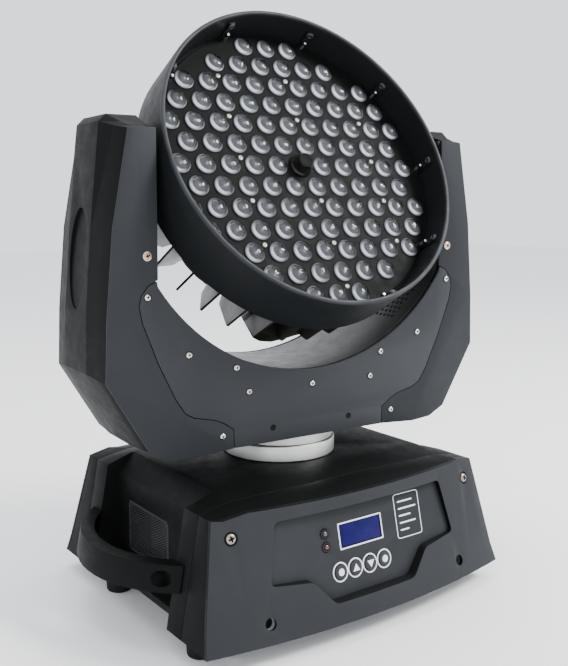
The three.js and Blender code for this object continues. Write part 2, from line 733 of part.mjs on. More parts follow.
function yokeBottom() {
  const plate = box(-YOKE_LOW_HALF, YOKE_LOW_HALF, -SHELL_HALF, SHELL_HALF, YOKE_LOW, YOKE_LOW + 2.6);
  return cut(plate, rod("z", 30.4, 160, 180, 0, 0, 36));
}

// Stepper motor standing on four posts, shaft along +Z from z = 0
function motor(size, length, post) {
  const h = size / 2;
  const body = box(-h, h, -h, h, post, post + length);
  const at = h - 2.5;
  const spots = [[-at, -at], [-at, at], [at, -at], [at, at]];
  const legs = spots.map(([x, y]) => rod("z", 1.8, 0, post + 1, x, y, 8));
  return join(body, ...legs, rod("z", 9, post - 2, post + 1, 0, 0, 16));
}

function pulley(r, width, bore) {
  const flange = 1.2;
  const profile = [
    [bore, 0], [r + 1.6, 0], [r + 1.6, flange], [r, flange], [r, width - flange],
    [r + 1.6, width - flange], [r + 1.6, width], [bore, width],
  ];
  return turned(profile, 16).rotateX(Math.PI / 2);
}

// Flat belt around two wheels on a line along X, from z = 0 to z = width
function belt(big, small, distance, width) {
  const loop = (grow) => {
    const tilt = THREE.MathUtils.radToDeg(Math.asin((big - small) / distance));
    const a = arc(0, 0, big + grow, 90 - tilt, 270 + tilt, 20);
    const b = arc(distance, 0, small + grow, -90 + tilt, 90 - tilt, 10);
    return [...a, ...b];
  };
  return cut(flatPlate(loop(1.7), 0, width), flatPlate(loop(0.3), -1, width + 1));
}

// Turns a shape drawn along +Z so that +Z points to -X and +X points down
function toArm(shape, x, z) {
  const turn = new THREE.Matrix4().makeBasis(
    new THREE.Vector3(0, 0, -1),
    new THREE.Vector3(0, -1, 0),
    new THREE.Vector3(-1, 0, 0),
  );
  const g = shape.isBufferGeometry ? shape.clone() : skin(shape);
  return g.applyMatrix4(turn.setPosition(x, 0, z));
}

add("arm_shell_right", armShell(), LOOK.black, PAN);
add("arm_shell_left", mirrorX(skin(armShell())), LOOK.black, PAN);
[["front", -YOKE_HALF_DEPTH], ["rear", YOKE_HALF_DEPTH - SHEET]].forEach(([side, y]) => {
  const plate = frontPlate(armPanel(), y, y + SHEET);
  add(`arm_panel_${side}_right`, plate, LOOK.grey, PAN);
  add(`arm_panel_${side}_left`, mirrorX(plate), LOOK.grey, PAN);
  add(`yoke_plate_${side}`, frontPlate(crescent(), y, y + SHEET), LOOK.sheet, PAN);
});
add("yoke_inner_wall", innerWall(), LOOK.black, PAN);
add("yoke_frame", yokeFrame(), LOOK.steel, PAN);
add("yoke_bottom", yokeBottom(), LOOK.black, PAN);
add("yoke_hub", yokeHub(), LOOK.pale, PAN);
add("pan_motor", skin(motor(42, 38, 19)).translate(PAN_MOTOR_X, 0, 177.3), LOOK.gloss, PAN);
add("pan_motor_pulley", pulley(SMALL_R, 10, 2).translate(PAN_MOTOR_X, 0, PULLEY_Z), LOOK.bright, PAN);
const panBelt = skin(belt(PAN_BIG_R, SMALL_R, PAN_MOTOR_X, 6));
add("pan_belt", panBelt.translate(0, 0, PULLEY_Z + 2), LOOK.belt, PAN);
const tiltBelt = belt(TILT_BIG_R, SMALL_R, TILT_Z - TILT_MOTOR_Z, 6);
add("tilt_motor", toArm(motor(42, 22, 15), -179.8, TILT_MOTOR_Z), LOOK.gloss, PAN);
add("tilt_motor_pulley", toArm(pulley(SMALL_R, 10, 2), -PULLEY_X, TILT_MOTOR_Z), LOOK.bright, PAN);
add("tilt_belt", toArm(tiltBelt, -PULLEY_X - 2, TILT_Z), LOOK.belt, PAN);

// ---------------------------------------------------------------- head

function hexPoints() {
  const points = [];
  const limit = 5.3 * PITCH;
  for (let j = -6; j <= 6; j += 1) {
    for (let i = -7; i <= 7; i += 1) {
      const x = (i + (Math.abs(j) % 2) / 2) * PITCH;
      const z = (j * PITCH * Math.sqrt(3)) / 2;
      const r = Math.hypot(x, z);
      if (r < limit && r > 1) {
        points.push([x, z]);
      }
    }
  }
  return points;
}

function ring() {
  const inR = RING_R - RING_WALL;
  const profile = [
    [inR + 1.2, RING_FRONT], [RING_R, RING_FRONT], [RING_REAR_R, RING_BACK],
    [inR, RING_BACK], [inR, RING_FRONT + 1.5],
  ];
  const tabs = [];
  for (let k = 0; k < CLIPS; k += 1) {
    const a = (k * 2 * Math.PI) / CLIPS;
    const tab = box(inR - 8, inR + 1, RING_FRONT + 9, RING_FRONT + 15, -5, 5);
    const pin = rod("y", 1.7, RING_FRONT + 10, PLATE_Y - GAP, inR - 5, 0, 8);
    tabs.push(solid(tab.rotateY(a)), solid(pin.rotateY(a)));
  }
  return join(turned(profile, 60), ...tabs);
}

function lensArray() {
  const web = rod("y", 152, PLATE_Y - 1, PLATE_Y - GAP, 0, 0, 36);
  const seat = PLATE_Y - 0.6;
  const crown = seat - LENS_HEIGHT;
  const dome = turned([[0, seat], [LENS_R, seat], [LENS_R * 0.62, crown], [0, crown]], 6);
  const domes = hexPoints().map(([x, z]) => solid(dome.clone().translate(x, 0, z)));
  const well = rod("y", KNOB_R + 0.4, PLATE_Y - 9, PLATE_Y + 1, 0, 0, 18);
  return cut(domes.reduce((a, b) => a.add(b), solid(web)), well);
}

function knob() {
  return turned([
    [0, PLATE_Y - GAP], [KNOB_R, PLATE_Y - GAP], [12.4, PLATE_Y - 3], [11, PLATE_Y - 4],
    [8, PLATE_Y - 13], [7, PLATE_Y - 14], [0, PLATE_Y - 14],
  ], 16);
}

// Solid lump that bridges the lowest fins at their tapered rear
const LOWER_BOSS = [
  [-47, -119], [-40, -142], [-33, -146.5], [-20, -148.5], [-5, -147], [10, -144.5], [25, -142.5], [27, -118],
];

function heatSink() {
  const disc = rod("y", RING_R - RING_WALL - 0.6, PLATE_Y + 3.4, PLATE_Y + 10, 0, 0, 48);
  const core = [
    [CORE_R - 3, PLATE_Y + 8], [CORE_R, PLATE_Y + 8], [CORE_R, FIN_END_Y], [CORE_R - 3, FIN_END_Y],
  ];
  const tube = turned(core, 24);
  let sink = join(disc, tube);
  const fin = [
    [CORE_R - 1.5, PLATE_Y + 8], [FIN_R, PLATE_Y + 8], [FIN_R, FIN_Y],
    [FIN_TAPER_R, FIN_END_Y], [CORE_R - 1.5, FIN_END_Y],
  ];
  for (let k = 0; k < FINS; k += 1) {
    const blade = flatPlate(fin, -FIN_HALF_THICK, FIN_HALF_THICK);
    const a = THREE.MathUtils.degToRad(FIN_PHASE_DEG + (360 / FINS) * k);
    sink = sink.add(solid(blade.rotateY(-a)));
  }
  sink = sink.add(solid(frontPlate(LOWER_BOSS, FIN_Y + 7, FIN_Y + 25)));
  [-1, 1].forEach((s) => {
    const ear = box(s > 0 ? 118 : -159.4, s > 0 ? 159.4 : -118, -12, 28, -19, 19);
    sink = sink.add(solid(ear));
  });
  return sink;
}

function rearHousing() {
  const y = FIN_END_Y + GAP;
  const end = y + HOUSING_DEPTH;
  const r = HOUSING_R;
  const mouth = HOUSING_MOUTH_R;
  const profile = [
    [r - 6, y], [r, y], [r, end - 8], [r - 8, end], [mouth, end],
    [mouth, end - 2.5], [r - 10, end - 2.5], [r - 6, end - 8],
  ];
  const bars = [0, 1].map((k) => {
    return box(-mouth - 1, mouth + 1, end - 2.2, end - 0.2, -1.4, 1.4).rotateY((k * Math.PI) / 2);
  });
  const hoops = [14, 29].map((a) => {
    return turned([[a, end - 2], [a + 2, end - 2], [a + 2, end - 0.4], [a, end - 0.4]], 16);
  });
  return join(turned(profile, 36), ...bars, ...hoops);
}

function fanRotor() {
  const y = FIN_END_Y + 2;
  let rotor = solid(rod("y", FAN_HUB_R, y + 2, y + 14, 0, 0, 20));
  for (let k = 0; k < FAN_BLADES; k += 1) {
    const blade = box(FAN_HUB_R - 2, FAN_R, -0.8, 0.8, -6, 6).rotateX(0.55).translate(0, y + 8, 0);
    rotor = rotor.add(solid(blade.rotateY((k * 2 * Math.PI) / FAN_BLADES)));
  }
  return rotor;
}

function axle() {
  const flange = rod("x", 14, 159.8, 165.6, 0, 0, 24);
  return join(flange, rod("x", AXLE_R, 165, 200, 0, 0, 24));
}

add("front_ring", ring(), LOOK.black, HEAD);
add("face_plate", rod("y", RING_R - RING_WALL - 0.6, PLATE_Y, PLATE_Y + 2.6, 0, 0, 60), LOOK.face, HEAD);
add("lens_array", lensArray(), LOOK.lens, HEAD);
add("centre_knob", knob(), LOOK.gloss, HEAD);
add("heat_sink", heatSink(), LOOK.alloy, HEAD);
add("rear_housing", rearHousing(), LOOK.black, HEAD);
add("fan_rotor", fanRotor(), LOOK.gloss, HEAD);
add("axle_right", axle(), LOOK.steel, HEAD);
add("axle_left", mirrorX(skin(axle())), LOOK.steel, HEAD);
const wheel = pulley(TILT_BIG_R, 10, AXLE_R + GAP);
add("tilt_pulley", toArm(wheel, -PULLEY_X, 0), LOOK.bright, HEAD);

export default group;
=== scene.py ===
"""Moving head wash light: the looks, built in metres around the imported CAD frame."""

import math
import random

import bmesh
import bpy
from mathutils import Matrix, Vector


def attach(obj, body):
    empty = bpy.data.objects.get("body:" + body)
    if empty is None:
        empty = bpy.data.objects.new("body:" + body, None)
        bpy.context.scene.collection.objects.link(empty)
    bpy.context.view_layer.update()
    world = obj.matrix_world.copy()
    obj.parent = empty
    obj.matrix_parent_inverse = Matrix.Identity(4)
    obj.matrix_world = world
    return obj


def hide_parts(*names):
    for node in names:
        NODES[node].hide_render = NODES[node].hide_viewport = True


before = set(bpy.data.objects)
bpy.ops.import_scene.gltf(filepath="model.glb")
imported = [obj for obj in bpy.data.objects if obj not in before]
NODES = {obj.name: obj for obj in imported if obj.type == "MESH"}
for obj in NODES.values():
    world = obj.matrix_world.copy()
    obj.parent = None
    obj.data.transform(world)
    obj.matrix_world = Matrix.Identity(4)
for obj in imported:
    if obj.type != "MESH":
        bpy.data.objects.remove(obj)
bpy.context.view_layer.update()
MM = 0.001

# The same driving sizes as the CAD, in millimetres and degrees
PITCH = 27.0
LENS_R = 0.37 * PITCH
LATTICE_LIMIT = 5.3 * PITCH
PAN = math.radians(-3.27)
TILT = math.radians(27.98)
TILT_Z = 421.0
RING_R, RING_REAR_R, RING_WALL = 163.5, 165.3, 4.5
RING_FRONT, RING_BACK = -76.0, -15.0
PLATE_Y = -43.0
FRONT = -PLATE_Y
CLIPS = 10
YOKE_FACE = 62.0
ARC_Z, ARC_R = 442.0, 204.0
FACE_TOP_Y, FACE_SLOPE, FACE_TOP_Z = 122.5, 0.23, 133.0
BOW, BOW_HALF, RECESS_SET = 16.0, 172.0, 4.5
COLUMN_R, COLUMN_BORE, COLUMN_LOW, COLUMN_TOP = 20.0, 13, 126, 200
COLLAR_R, COLLAR_TOP, BASE_TOP = 60.0, 158.5, 142.0
HUB_LOW, HUB_TOP, NECK_R, NECK_TOP = 159, 168.7, 30, 172.6
PAN_PULLEY_R, PAN_FLANGE_R, PULLEY_Z = 36.0, 37.6, 182.0
FOOT_R, FOOT_TOP, FOOT_X = 15.0, 33.7, 162.0
FOOT_YS = (-102.0, 63.0)
DISPLAY = {"x": -2.3, "z": 90.6, "w": 52.0, "h": 21.6}
BUTTON_X, BUTTON_Z, BUTTON_PITCH, BUTTON_R = -33.4, 59.4, 18.6, 7.2
LAMP_X, LAMP_ZS = -46.4, (97.0, 85.0)
UPPER_SCREW, LOWER_SCREW = (148.5, 114.0), (121.0, 36.6)
VENT_X, VENT_Y, VENT_HALF_Y, VENT_LOW, VENT_HIGH = 151.6, 16.6, 41.6, 43.4, 96.6
VENT_RISE, VENT_PITCH, VENT_BAR, VENT_FRAME = 0.51, 2.6, 1.24, 2.6

AT_BASE = Matrix.Identity(4)
AT_REAR = Matrix.Rotation(math.pi, 4, "Z")
AT_YOKE = Matrix.Rotation(PAN, 4, "Z")
AT_HEAD = AT_YOKE @ Matrix.Translation((0, 0, TILT_Z * MM)) @ Matrix.Rotation(-TILT, 4, "X")


# ------------------------------------------------------------------ camera, light, floor

CAMERA_PLACE = (-0.5519, -0.7427, 0.4067)
CAMERA_DOWN, CAMERA_TURN = 7.13, -35.26
CAMERA_LENS, CAMERA_SENSOR, CAMERA_SHIFT = 47.3, 36.0, (0.0387, -0.0339)
SKY_COLOUR, SKY_STRENGTH = (0.93, 0.95, 1.0, 1), 1.75
# Name, place, point looked at, side and power of each square light
LIGHTS = (
    ("key", (1.34, -1.3, 1.85), (0, 0, 0.35), 0.7, 75),
    ("top", (0.0, 0.3, 2.2), (0, 0, 0.3), 1.4, 20),
    ("fill", (-2.0, -1.6, 1.2), (0, 0, 0.3), 1.2, 7),
)
FLOOR_HALF = 6.0


def make_camera():
    data = bpy.data.cameras.new("camera")
    data.sensor_fit = "VERTICAL"
    data.sensor_height = CAMERA_SENSOR
    data.sensor_width = CAMERA_SENSOR
    data.lens = CAMERA_LENS
    data.shift_x, data.shift_y = CAMERA_SHIFT
    data.clip_start = 0.05
    camera = bpy.data.objects.new("camera", data)
    camera.location = CAMERA_PLACE
    camera.rotation_euler = (math.radians(90 - CAMERA_DOWN), 0.0, math.radians(CAMERA_TURN))
    bpy.context.scene.collection.objects.link(camera)
    bpy.context.scene.camera = camera


def area_light(name, place, target, side, power):
    data = bpy.data.lights.new(name, "AREA")
    data.shape = "RECTANGLE"
    data.size = data.size_y = side
    data.energy = power
    lamp = bpy.data.objects.new(name, data)
    lamp.location = place
    aim = Vector(target) - Vector(place)
    lamp.rotation_euler = aim.to_track_quat("-Z", "Y").to_euler()
    bpy.context.scene.collection.objects.link(lamp)


def make_lights():
    world = bpy.data.worlds.new("studio")
    world.use_nodes = True
    sky = world.node_tree.nodes["Background"]
    sky.inputs["Color"].default_value = SKY_COLOUR
    sky.inputs["Strength"].default_value = SKY_STRENGTH
    bpy.context.scene.world = world
    for light in LIGHTS:
        area_light(*light)


def make_floor():
    mesh = bpy.data.meshes.new("floor")
    corners = [(x * FLOOR_HALF, y * FLOOR_HALF, 0) for x, y in ((-1, -1), (1, -1), (1, 1), (-1, 1))]
    mesh.from_pydata(corners, [], [(0, 1, 2, 3)])
    floor = bpy.data.objects.new("floor", mesh)
    bpy.context.scene.collection.objects.link(floor)
    material, nodes, links, shader = new_material("floor_paper", (0.92, 0.92, 0.92), 0.9)
    bump_from(nodes, links, shader, noise(nodes, 400.0, 3.0), 0.05, 0.0004)
    mesh.materials.append(material)


# ------------------------------------------------------------------ materials

def new_material(name, colour, roughness, metallic=0.0, specular=0.5):
    material = bpy.data.materials.new(name)
    material.use_nodes = True
    nodes, links = material.node_tree.nodes, material.node_tree.links
    shader = nodes["Principled BSDF"]
    shader.inputs["Base Color"].default_value = (*colour, 1)
    shader.inputs["Roughness"].default_value = roughness
    shader.inputs["Metallic"].default_value = metallic
    shader.inputs["Specular IOR Level"].default_value = specular
    return material, nodes, links, shader


def place_node(nodes):
    for node in nodes:
        if node.bl_idname == "ShaderNodeTexCoord":
            return node
    return nodes.new("ShaderNodeTexCoord")


def textured(nodes, kind, **values):
    """A texture node fixed to the object's own space."""
    node = nodes.new(kind)
    for key, value in values.items():
        node.inputs[key].default_value = value
    links = node.id_data.links
    links.new(place_node(nodes).outputs["Object"], node.inputs["Vector"])
    return node


def noise(nodes, scale, detail, roughness=0.5):
    kind = "ShaderNodeTexNoise"
    return textured(nodes, kind, Scale=scale, Detail=detail, Roughness=roughness).outputs["Fac"]


def bump_from(nodes, links, shader, height, strength, distance):
    bump = nodes.new("ShaderNodeBump")
    bump.inputs["Strength"].default_value = strength
    bump.inputs["Distance"].default_value = distance
    links.new(height, bump.inputs["Height"])
    links.new(bump.outputs["Normal"], shader.inputs["Normal"])


def ranged(nodes, links, value, low, high, start=0.3, end=0.7):
    """Maps a value between start and end onto low to high, and clamps it."""
    node = nodes.new("ShaderNodeMapRange")
    node.inputs["From Min"].default_value = start
    node.inputs["From Max"].default_value = end
    node.inputs["To Min"].default_value = low
    node.inputs["To Max"].default_value = high
    links.new(value, node.inputs["Value"])
    return node.outputs["Result"]


def mixed(nodes, links, factor, first, second):
    """Mixes two colours, each a tuple or a socket."""
    node = nodes.new("ShaderNodeMix")
    node.data_type = "RGBA"
    links.new(factor, node.inputs["Factor"])
    for socket, value in ((node.inputs[6], first), (node.inputs[7], second)):
        if isinstance(value, tuple):
            socket.default_value = (*value, 1)
        else:
            links.new(value, socket)
    return node.outputs[2]


def scaled(colour, factor):
    return tuple(min(1.0, channel * factor) for channel in colour)


def moulded(name, colour, roughness=0.5, grain=0.9, depth=0.00012, spread=0.16, specular=0.14):
    """Textured plastic or paint: fine grain, cloudy colour and uneven gloss."""
    material, nodes, links, shader = new_material(name, colour, roughness, 0.0, specular)
    cloud = noise(nodes, 9.0, 5.0, 0.6)
    dust = noise(nodes, 70.0, 4.0, 0.7)
    pores = noise(nodes, 1500.0 * grain, 2.0, 0.6)
    tone = ranged(nodes, links, cloud, 0.0, 1.0)
    base = mixed(nodes, links, tone, scaled(colour, 1 - spread), scaled(colour, 1 + spread))
    speck = ranged(nodes, links, dust, 0.0, 0.35, 0.55, 0.8)
    links.new(mixed(nodes, links, speck, base, scaled(colour, 1.5)), shader.inputs["Base Color"])
    gloss = ranged(nodes, links, dust, roughness - 0.06, roughness + 0.09)
    links.new(gloss, shader.inputs["Roughness"])
    bump_from(nodes, links, shader, pores, 0.35, depth)
    return material


# Painted shade: what is left of the colour on recess walls that look left, and on those that look up
LEFT_SHADE, UP_SHADE = 0.12, 0.25


def paint_crevice_shade(material, reach, dark):
    """Painted shade on a painted part: darkens it inside its corners, by ambient occlusion, and on recess
    walls that look up or to the left.
    """
    nodes, links = material.node_tree.nodes, material.node_tree.links
    shader = nodes["Principled BSDF"]
    old = shader.inputs["Base Color"].links[0].from_socket
    corner = nodes.new("ShaderNodeAmbientOcclusion")
    corner.inputs["Distance"].default_value = reach
    corner.samples = 8
    openness = ranged(nodes, links, corner.outputs["AO"], dark, 1.0, 0.35, 0.95)
    parts = nodes.new("ShaderNodeSeparateXYZ")
    links.new(place_node(nodes).outputs["Normal"], parts.inputs["Vector"])
    left = ranged(nodes, links, parts.outputs["X"], 1.0, LEFT_SHADE, -0.35, -0.75)
    up = ranged(nodes, links, parts.outputs["Z"], 1.0, UP_SHADE, 0.5, 0.85)
    for factor in (left, up):
        step = nodes.new("ShaderNodeMath")
        step.operation = "MULTIPLY"
        links.new(openness, step.inputs[0])
        links.new(factor, step.inputs[1])
        openness = step.outputs[0]
    shade = mixed(nodes, links, openness, (0.0, 0.0, 0.0), old)
    links.new(shade, shader.inputs["Base Color"])
    return material


def metal(name, colour, roughness, dirt=0.3):
    """Bare or plated metal with a fine grain and some stains."""
    material, nodes, links, shader = new_material(name, colour, roughness, 1.0)
    fine = noise(nodes, 900.0, 4.0, 0.65)
    stain = noise(nodes, 35.0, 5.0)
    shade = ranged(nodes, links, stain, 0.0, dirt, 0.45, 0.75)
    links.new(mixed(nodes, links, shade, colour, scaled(colour, 0.45)), shader.inputs["Base Color"])
    gloss = ranged(nodes, links, fine, roughness - 0.07, roughness + 0.12)
    links.new(gloss, shader.inputs["Roughness"])
    bump_from(nodes, links, shader, fine, 0.15, 0.00005)
    return material


def anodised(name, colour, roughness=0.42):
    """Black anodised aluminium with a faint olive sheen, painted in paler random patches."""
    material, nodes, links, shader = new_material(name, colour, roughness, 0.25)
    olive_sheen = noise(nodes, 16.0, 6.0, 0.65)
    fine = noise(nodes, 800.0, 2.0)
    shade = ranged(nodes, links, olive_sheen, 0.0, 1.0)
    olive = (colour[0] * 1.35, colour[1] * 1.32, colour[2] * 1.1)
    links.new(mixed(nodes, links, shade, colour, olive), shader.inputs["Base Color"])
    gloss = ranged(nodes, links, olive_sheen, roughness - 0.08, roughness + 0.1)
    links.new(gloss, shader.inputs["Roughness"])
    bump_from(nodes, links, shader, fine, 0.25, 0.00006)
    return material


def ring_lip():
    """The front lip of the ring, paler than the ring, and paler still in random patches."""
    colour = (0.009, 0.010, 0.011)
    material = moulded("ring_lip", colour, 0.48, 0.8, 0.0001, 0.12, 0.2)
    nodes, links = material.node_tree.nodes, material.node_tree.links
    shader = nodes["Principled BSDF"]
    old = shader.inputs["Base Color"].links[0].from_socket
    pale_patches = ranged(nodes, links, noise(nodes, 45.0, 4.0), 0.2, 0.9)
    links.new(mixed(nodes, links, pale_patches, old, (0.026, 0.029, 0.033)), shader.inputs["Base Color"])
    return material


def clear_optic():
    """Clear moulded optic with a faint haze. Its index is kept low, so it reflects little."""
    material, nodes, links, shader = new_material("clear_optic", (0.97, 0.98, 1.0), 0.02)
    shader.inputs["Transmission Weight"].default_value = 1.0
    shader.inputs["IOR"].default_value = 1.25
    haze = ranged(nodes, links, noise(nodes, 140.0, 2.0), 0.01, 0.06)
    links.new(haze, shader.inputs["Roughness"])
    return material


def bowl_painted_light():
    """Bowl under each dome. Its attribute tone holds painted highlights and painted shade: how pale each
    spot is.

    It glows a little by the same tone, a painted glow for the light that a real optic gathers.
    """
    material, nodes, links, shader = new_material("bowl_painted_light", (0.1, 0.1, 0.11), 0.4, 0.0, 0.1)
    tone = nodes.new("ShaderNodeAttribute")
    tone.attribute_name = "tone"
    uneven = ranged(nodes, links, noise(nodes, 330.0, 3.0, 0.6), 0.75, 1.25)
    level = nodes.new("ShaderNodeMath")
    level.operation = "MULTIPLY"
    links.new(tone.outputs["Fac"], level.inputs[0])
    links.new(uneven, level.inputs[1])
    # Painted light: highlights, glints and shade of the lens, and a painted glow by the same amount
    painted_paleness = mixed(nodes, links, level.outputs[0], (0.0, 0.0, 0.0), (0.90, 0.94, 1.0))
    links.new(painted_paleness, shader.inputs["Base Color"])
    links.new(painted_paleness, shader.inputs["Emission Color"])
    shader.inputs["Emission Strength"].default_value = 0.6
    return material


def printed(name, colour, roughness=0.45):
    """Screen print with ink of uneven density."""
    material, nodes, links, shader = new_material(name, colour, roughness)
    ink = noise(nodes, 700.0, 3.0)
    shade = ranged(nodes, links, ink, 0.0, 0.5)
    links.new(mixed(nodes, links, shade, colour, scaled(colour, 0.72)), shader.inputs["Base Color"])
    bump_from(nodes, links, shader, ink, 0.2, 0.00004)
    return material


def lit_screen():
    """Blue backlit window, faintly cloudy under a dull front."""
    material, nodes, links, shader = new_material("lit_screen", (0.006, 0.005, 0.10), 0.4, 0.0, 0.1)
    shade = ranged(nodes, links, noise(nodes, 90.0, 2.0), 0.0, 1.0)
    glow = mixed(nodes, links, shade, (0.003, 0.0018, 0.045), (0.006, 0.0035, 0.075))
    links.new(glow, shader.inputs["Base Color"])
    links.new(glow, shader.inputs["Emission Color"])
    shader.inputs["Emission Strength"].default_value = 0.2
    return material


def lamp_dome(name, colour):
    """Tinted lamp under a clear coat."""
    material, nodes, links, shader = new_material(name, colour, 0.12)
    shader.inputs["Coat Weight"].default_value = 0.8
    shade = ranged(nodes, links, noise(nodes, 300.0, 2.0), 0.0, 1.0)
    links.new(mixed(nodes, links, shade, colour, scaled(colour, 0.5)), shader.inputs["Base Color"])
    return material


def gloss_black(name, roughness):
    """Polished black plastic with a faint haze."""
    material, nodes, links, shader = new_material(name, (0.004, 0.004, 0.004), roughness, 0.0, 0.28)
    haze = noise(nodes, 120.0, 4.0)
    gloss = ranged(nodes, links, haze, roughness * 0.7, roughness * 1.6)
    links.new(gloss, shader.inputs["Roughness"])
    bump_from(nodes, links, shader, haze, 0.03, 0.0003)
    return material


def circuit_board():
    """Green board with a grid of paler tracks."""
    material, nodes, links, shader = new_material("circuit_board", (0.01, 0.10, 0.04), 0.4)
    tracks = textured(nodes, "ShaderNodeTexBrick", Scale=260.0)
    tracks.inputs["Color1"].default_value = (0.01, 0.10, 0.04, 1)
    tracks.inputs["Color2"].default_value = (0.015, 0.13, 0.05, 1)
    tracks.inputs["Mortar"].default_value = (0.05, 0.24, 0.10, 1)
    links.new(tracks.outputs["Color"], shader.inputs["Base Color"])
    bump_from(nodes, links, shader, tracks.outputs["Fac"], 0.3, 0.0001)
    return material


def make_materials():
    panel = moulded("grey_panel_paint", (0.0195, 0.0215, 0.0240), 0.5, 0.9, 0.00012, 0.1)
    return {
        "shell": moulded("black_moulding", (0.0042, 0.0046, 0.0045), 0.5, 0.7, 0.00016, 0.16, 0.06),
        # The panel paint, with painted shade in its corners and on its recess walls
        "panel": paint_crevice_shade(panel, 0.014, 0.05),
        "arm": moulded("arm_panel_paint", (0.0185, 0.0205, 0.0232), 0.52, 0.9, 0.00012, 0.1),
        "plate": moulded("yoke_plate_paint", (0.0265, 0.0290, 0.0328), 0.44, 1.2, 0.00008, 0.08),
        "wall": moulded("inner_wall_paint", (0.016, 0.0165, 0.016), 0.34, 1.2, 0.00006, 0.1, 0.4),
        "ring": moulded("ring_paint", (0.0066, 0.0077, 0.0084), 0.45, 0.8, 0.0001, 0.12, 0.14),
        "ring_lip": ring_lip(),
        "led_plate": moulded("led_plate_coat", (0.0040, 0.0045, 0.0044), 0.5, 1.4, 0.00007, 0.1, 0.05),
        "fins": anodised("fin_anodising", (0.0125, 0.0130, 0.0105)),
        # Painted highlight: a pale ring round each lens for its bright rim, made with the print shader
        "lens_rim_highlight": printed("lens_rim_highlight", (0.30, 0.32, 0.36), 0.2),
        "optic": clear_optic(),
        "bowl": bowl_painted_light(),
        "knob": gloss_black("gloss_black", 0.14),
        "fan": gloss_black("fan_plastic", 0.22),
        "collar": metal("collar_alloy", (0.66, 0.66, 0.64), 0.42),
        "steel": metal("zinc_plate", (0.52, 0.53, 0.55), 0.36),
        "bright": metal("bright_pin", (0.95, 0.95, 0.94), 0.3),
        "aged": metal("aged_screw", (0.34, 0.29, 0.25), 0.34, 0.7),
        "brass": metal("pale_screw", (0.86, 0.82, 0.72), 0.3, 0.4),
        "dull_steel": metal("dull_steel", (0.07, 0.075, 0.085), 0.5),
        "nickel": metal("nickel_screw", (0.74, 0.70, 0.66), 0.24, 0.7),
        "copper": metal("copper_washer", (0.72, 0.42, 0.28), 0.3, 0.6),
        "motor": moulded("motor_coat", (0.015, 0.015, 0.016), 0.35, 1.0, 0.00006),
        "rubber": moulded("foot_rubber", (0.010, 0.010, 0.010), 0.78, 0.6, 0.0002),
        "belt": moulded("belt_rubber", (0.012, 0.012, 0.012), 0.7, 1.0, 0.0001),
        "board": circuit_board(),
        "white": printed("white_print", (0.80, 0.82, 0.86)),
        "key": moulded("key_cap", (0.028, 0.030, 0.034), 0.4, 1.5, 0.00004),
        "vent": moulded("vent_moulding", (0.030, 0.032, 0.032), 0.45, 1.0, 0.0001),
        # Near-black painted shade for holes, screw recesses, gaps and well floors; the knob's tip takes it
        # only for its matte finish, in the knob's own black
        "hole": moulded("painted_shade_black", (0.004, 0.004, 0.004), 0.8, 1.0, 0.00005),
        "screen": lit_screen(),
        "clear_lamp": lamp_dome("clear_lamp", (0.05, 0.056, 0.062)),
        "red_lamp": lamp_dome("red_lamp", (0.11, 0.006, 0.008)),
    }


# ------------------------------------------------------------------ mesh helpers

def smooth_group(limit):
    """Geometry nodes that shade smooth where faces meet at less than limit, in degrees."""
    tree = bpy.data.node_groups.new("smooth_below_angle", "GeometryNodeTree")
    tree.interface.new_socket("Geometry", in_out="INPUT", socket_type="NodeSocketGeometry")
    tree.interface.new_socket("Geometry", in_out="OUTPUT", socket_type="NodeSocketGeometry")
    start, end = tree.nodes.new("NodeGroupInput"), tree.nodes.new("NodeGroupOutput")
    angle = tree.nodes.new("GeometryNodeInputMeshEdgeAngle")
    compare = tree.nodes.new("FunctionNodeCompare")
    compare.data_type = "FLOAT"
    compare.operation = "GREATER_THAN"
    compare.inputs["B"].default_value = math.radians(limit)
    faces, edges = (tree.nodes.new("GeometryNodeSetShadeSmooth") for _ in range(2))
    faces.domain, edges.domain = "FACE", "EDGE"
    faces.inputs["Shade Smooth"].default_value = True
    edges.inputs["Shade Smooth"].default_value = False
    tree.links.new(start.outputs[0], faces.inputs["Geometry"])
    tree.links.new(faces.outputs[0], edges.inputs["Geometry"])
    tree.links.new(angle.outputs["Unsigned Angle"], compare.inputs["A"])
    tree.links.new(compare.outputs[0], edges.inputs["Selection"])
    tree.links.new(edges.outputs[0], end.inputs[0])
    return tree


# Shading for crisp parts and for softly rounded ones
SMOOTH = smooth_group(28)
SOFT = smooth_group(46)
WELD_REACH, FLAT_LIMIT = 2e-6, math.radians(0.4)


def finish_edges(obj, bevel=0.0, segments=2, limit=24, merge=True, shading=SMOOTH):
    """Rounds the sharp edges of an object and shades the rest smooth."""
    if merge:
        weld = obj.modifiers.new("weld", "WELD")
        weld.merge_threshold = WELD_REACH
        flat = obj.modifiers.new("flatten", "DECIMATE")
        flat.decimate_type = "DISSOLVE"
        flat.angle_limit = FLAT_LIMIT
    if bevel:
        rounding = obj.modifiers.new("bevel", "BEVEL")
        rounding.width = bevel * MM
        rounding.segments = segments
        rounding.limit_method = "ANGLE"
        rounding.angle_limit = math.radians(limit)
        rounding.miter_outer = "MITER_ARC"
    shade = obj.modifiers.new("smooth", "NODES")
    shade.node_group = shading


def dress(node, material, bevel=0.6, segments=2, limit=24, shading=SMOOTH):
    """Gives a CAD node its material, with rounded edges."""
    obj = NODES[node]
    obj.data.materials.clear()
    obj.data.materials.append(material)
    finish_edges(obj, bevel, segments, limit, True, shading)


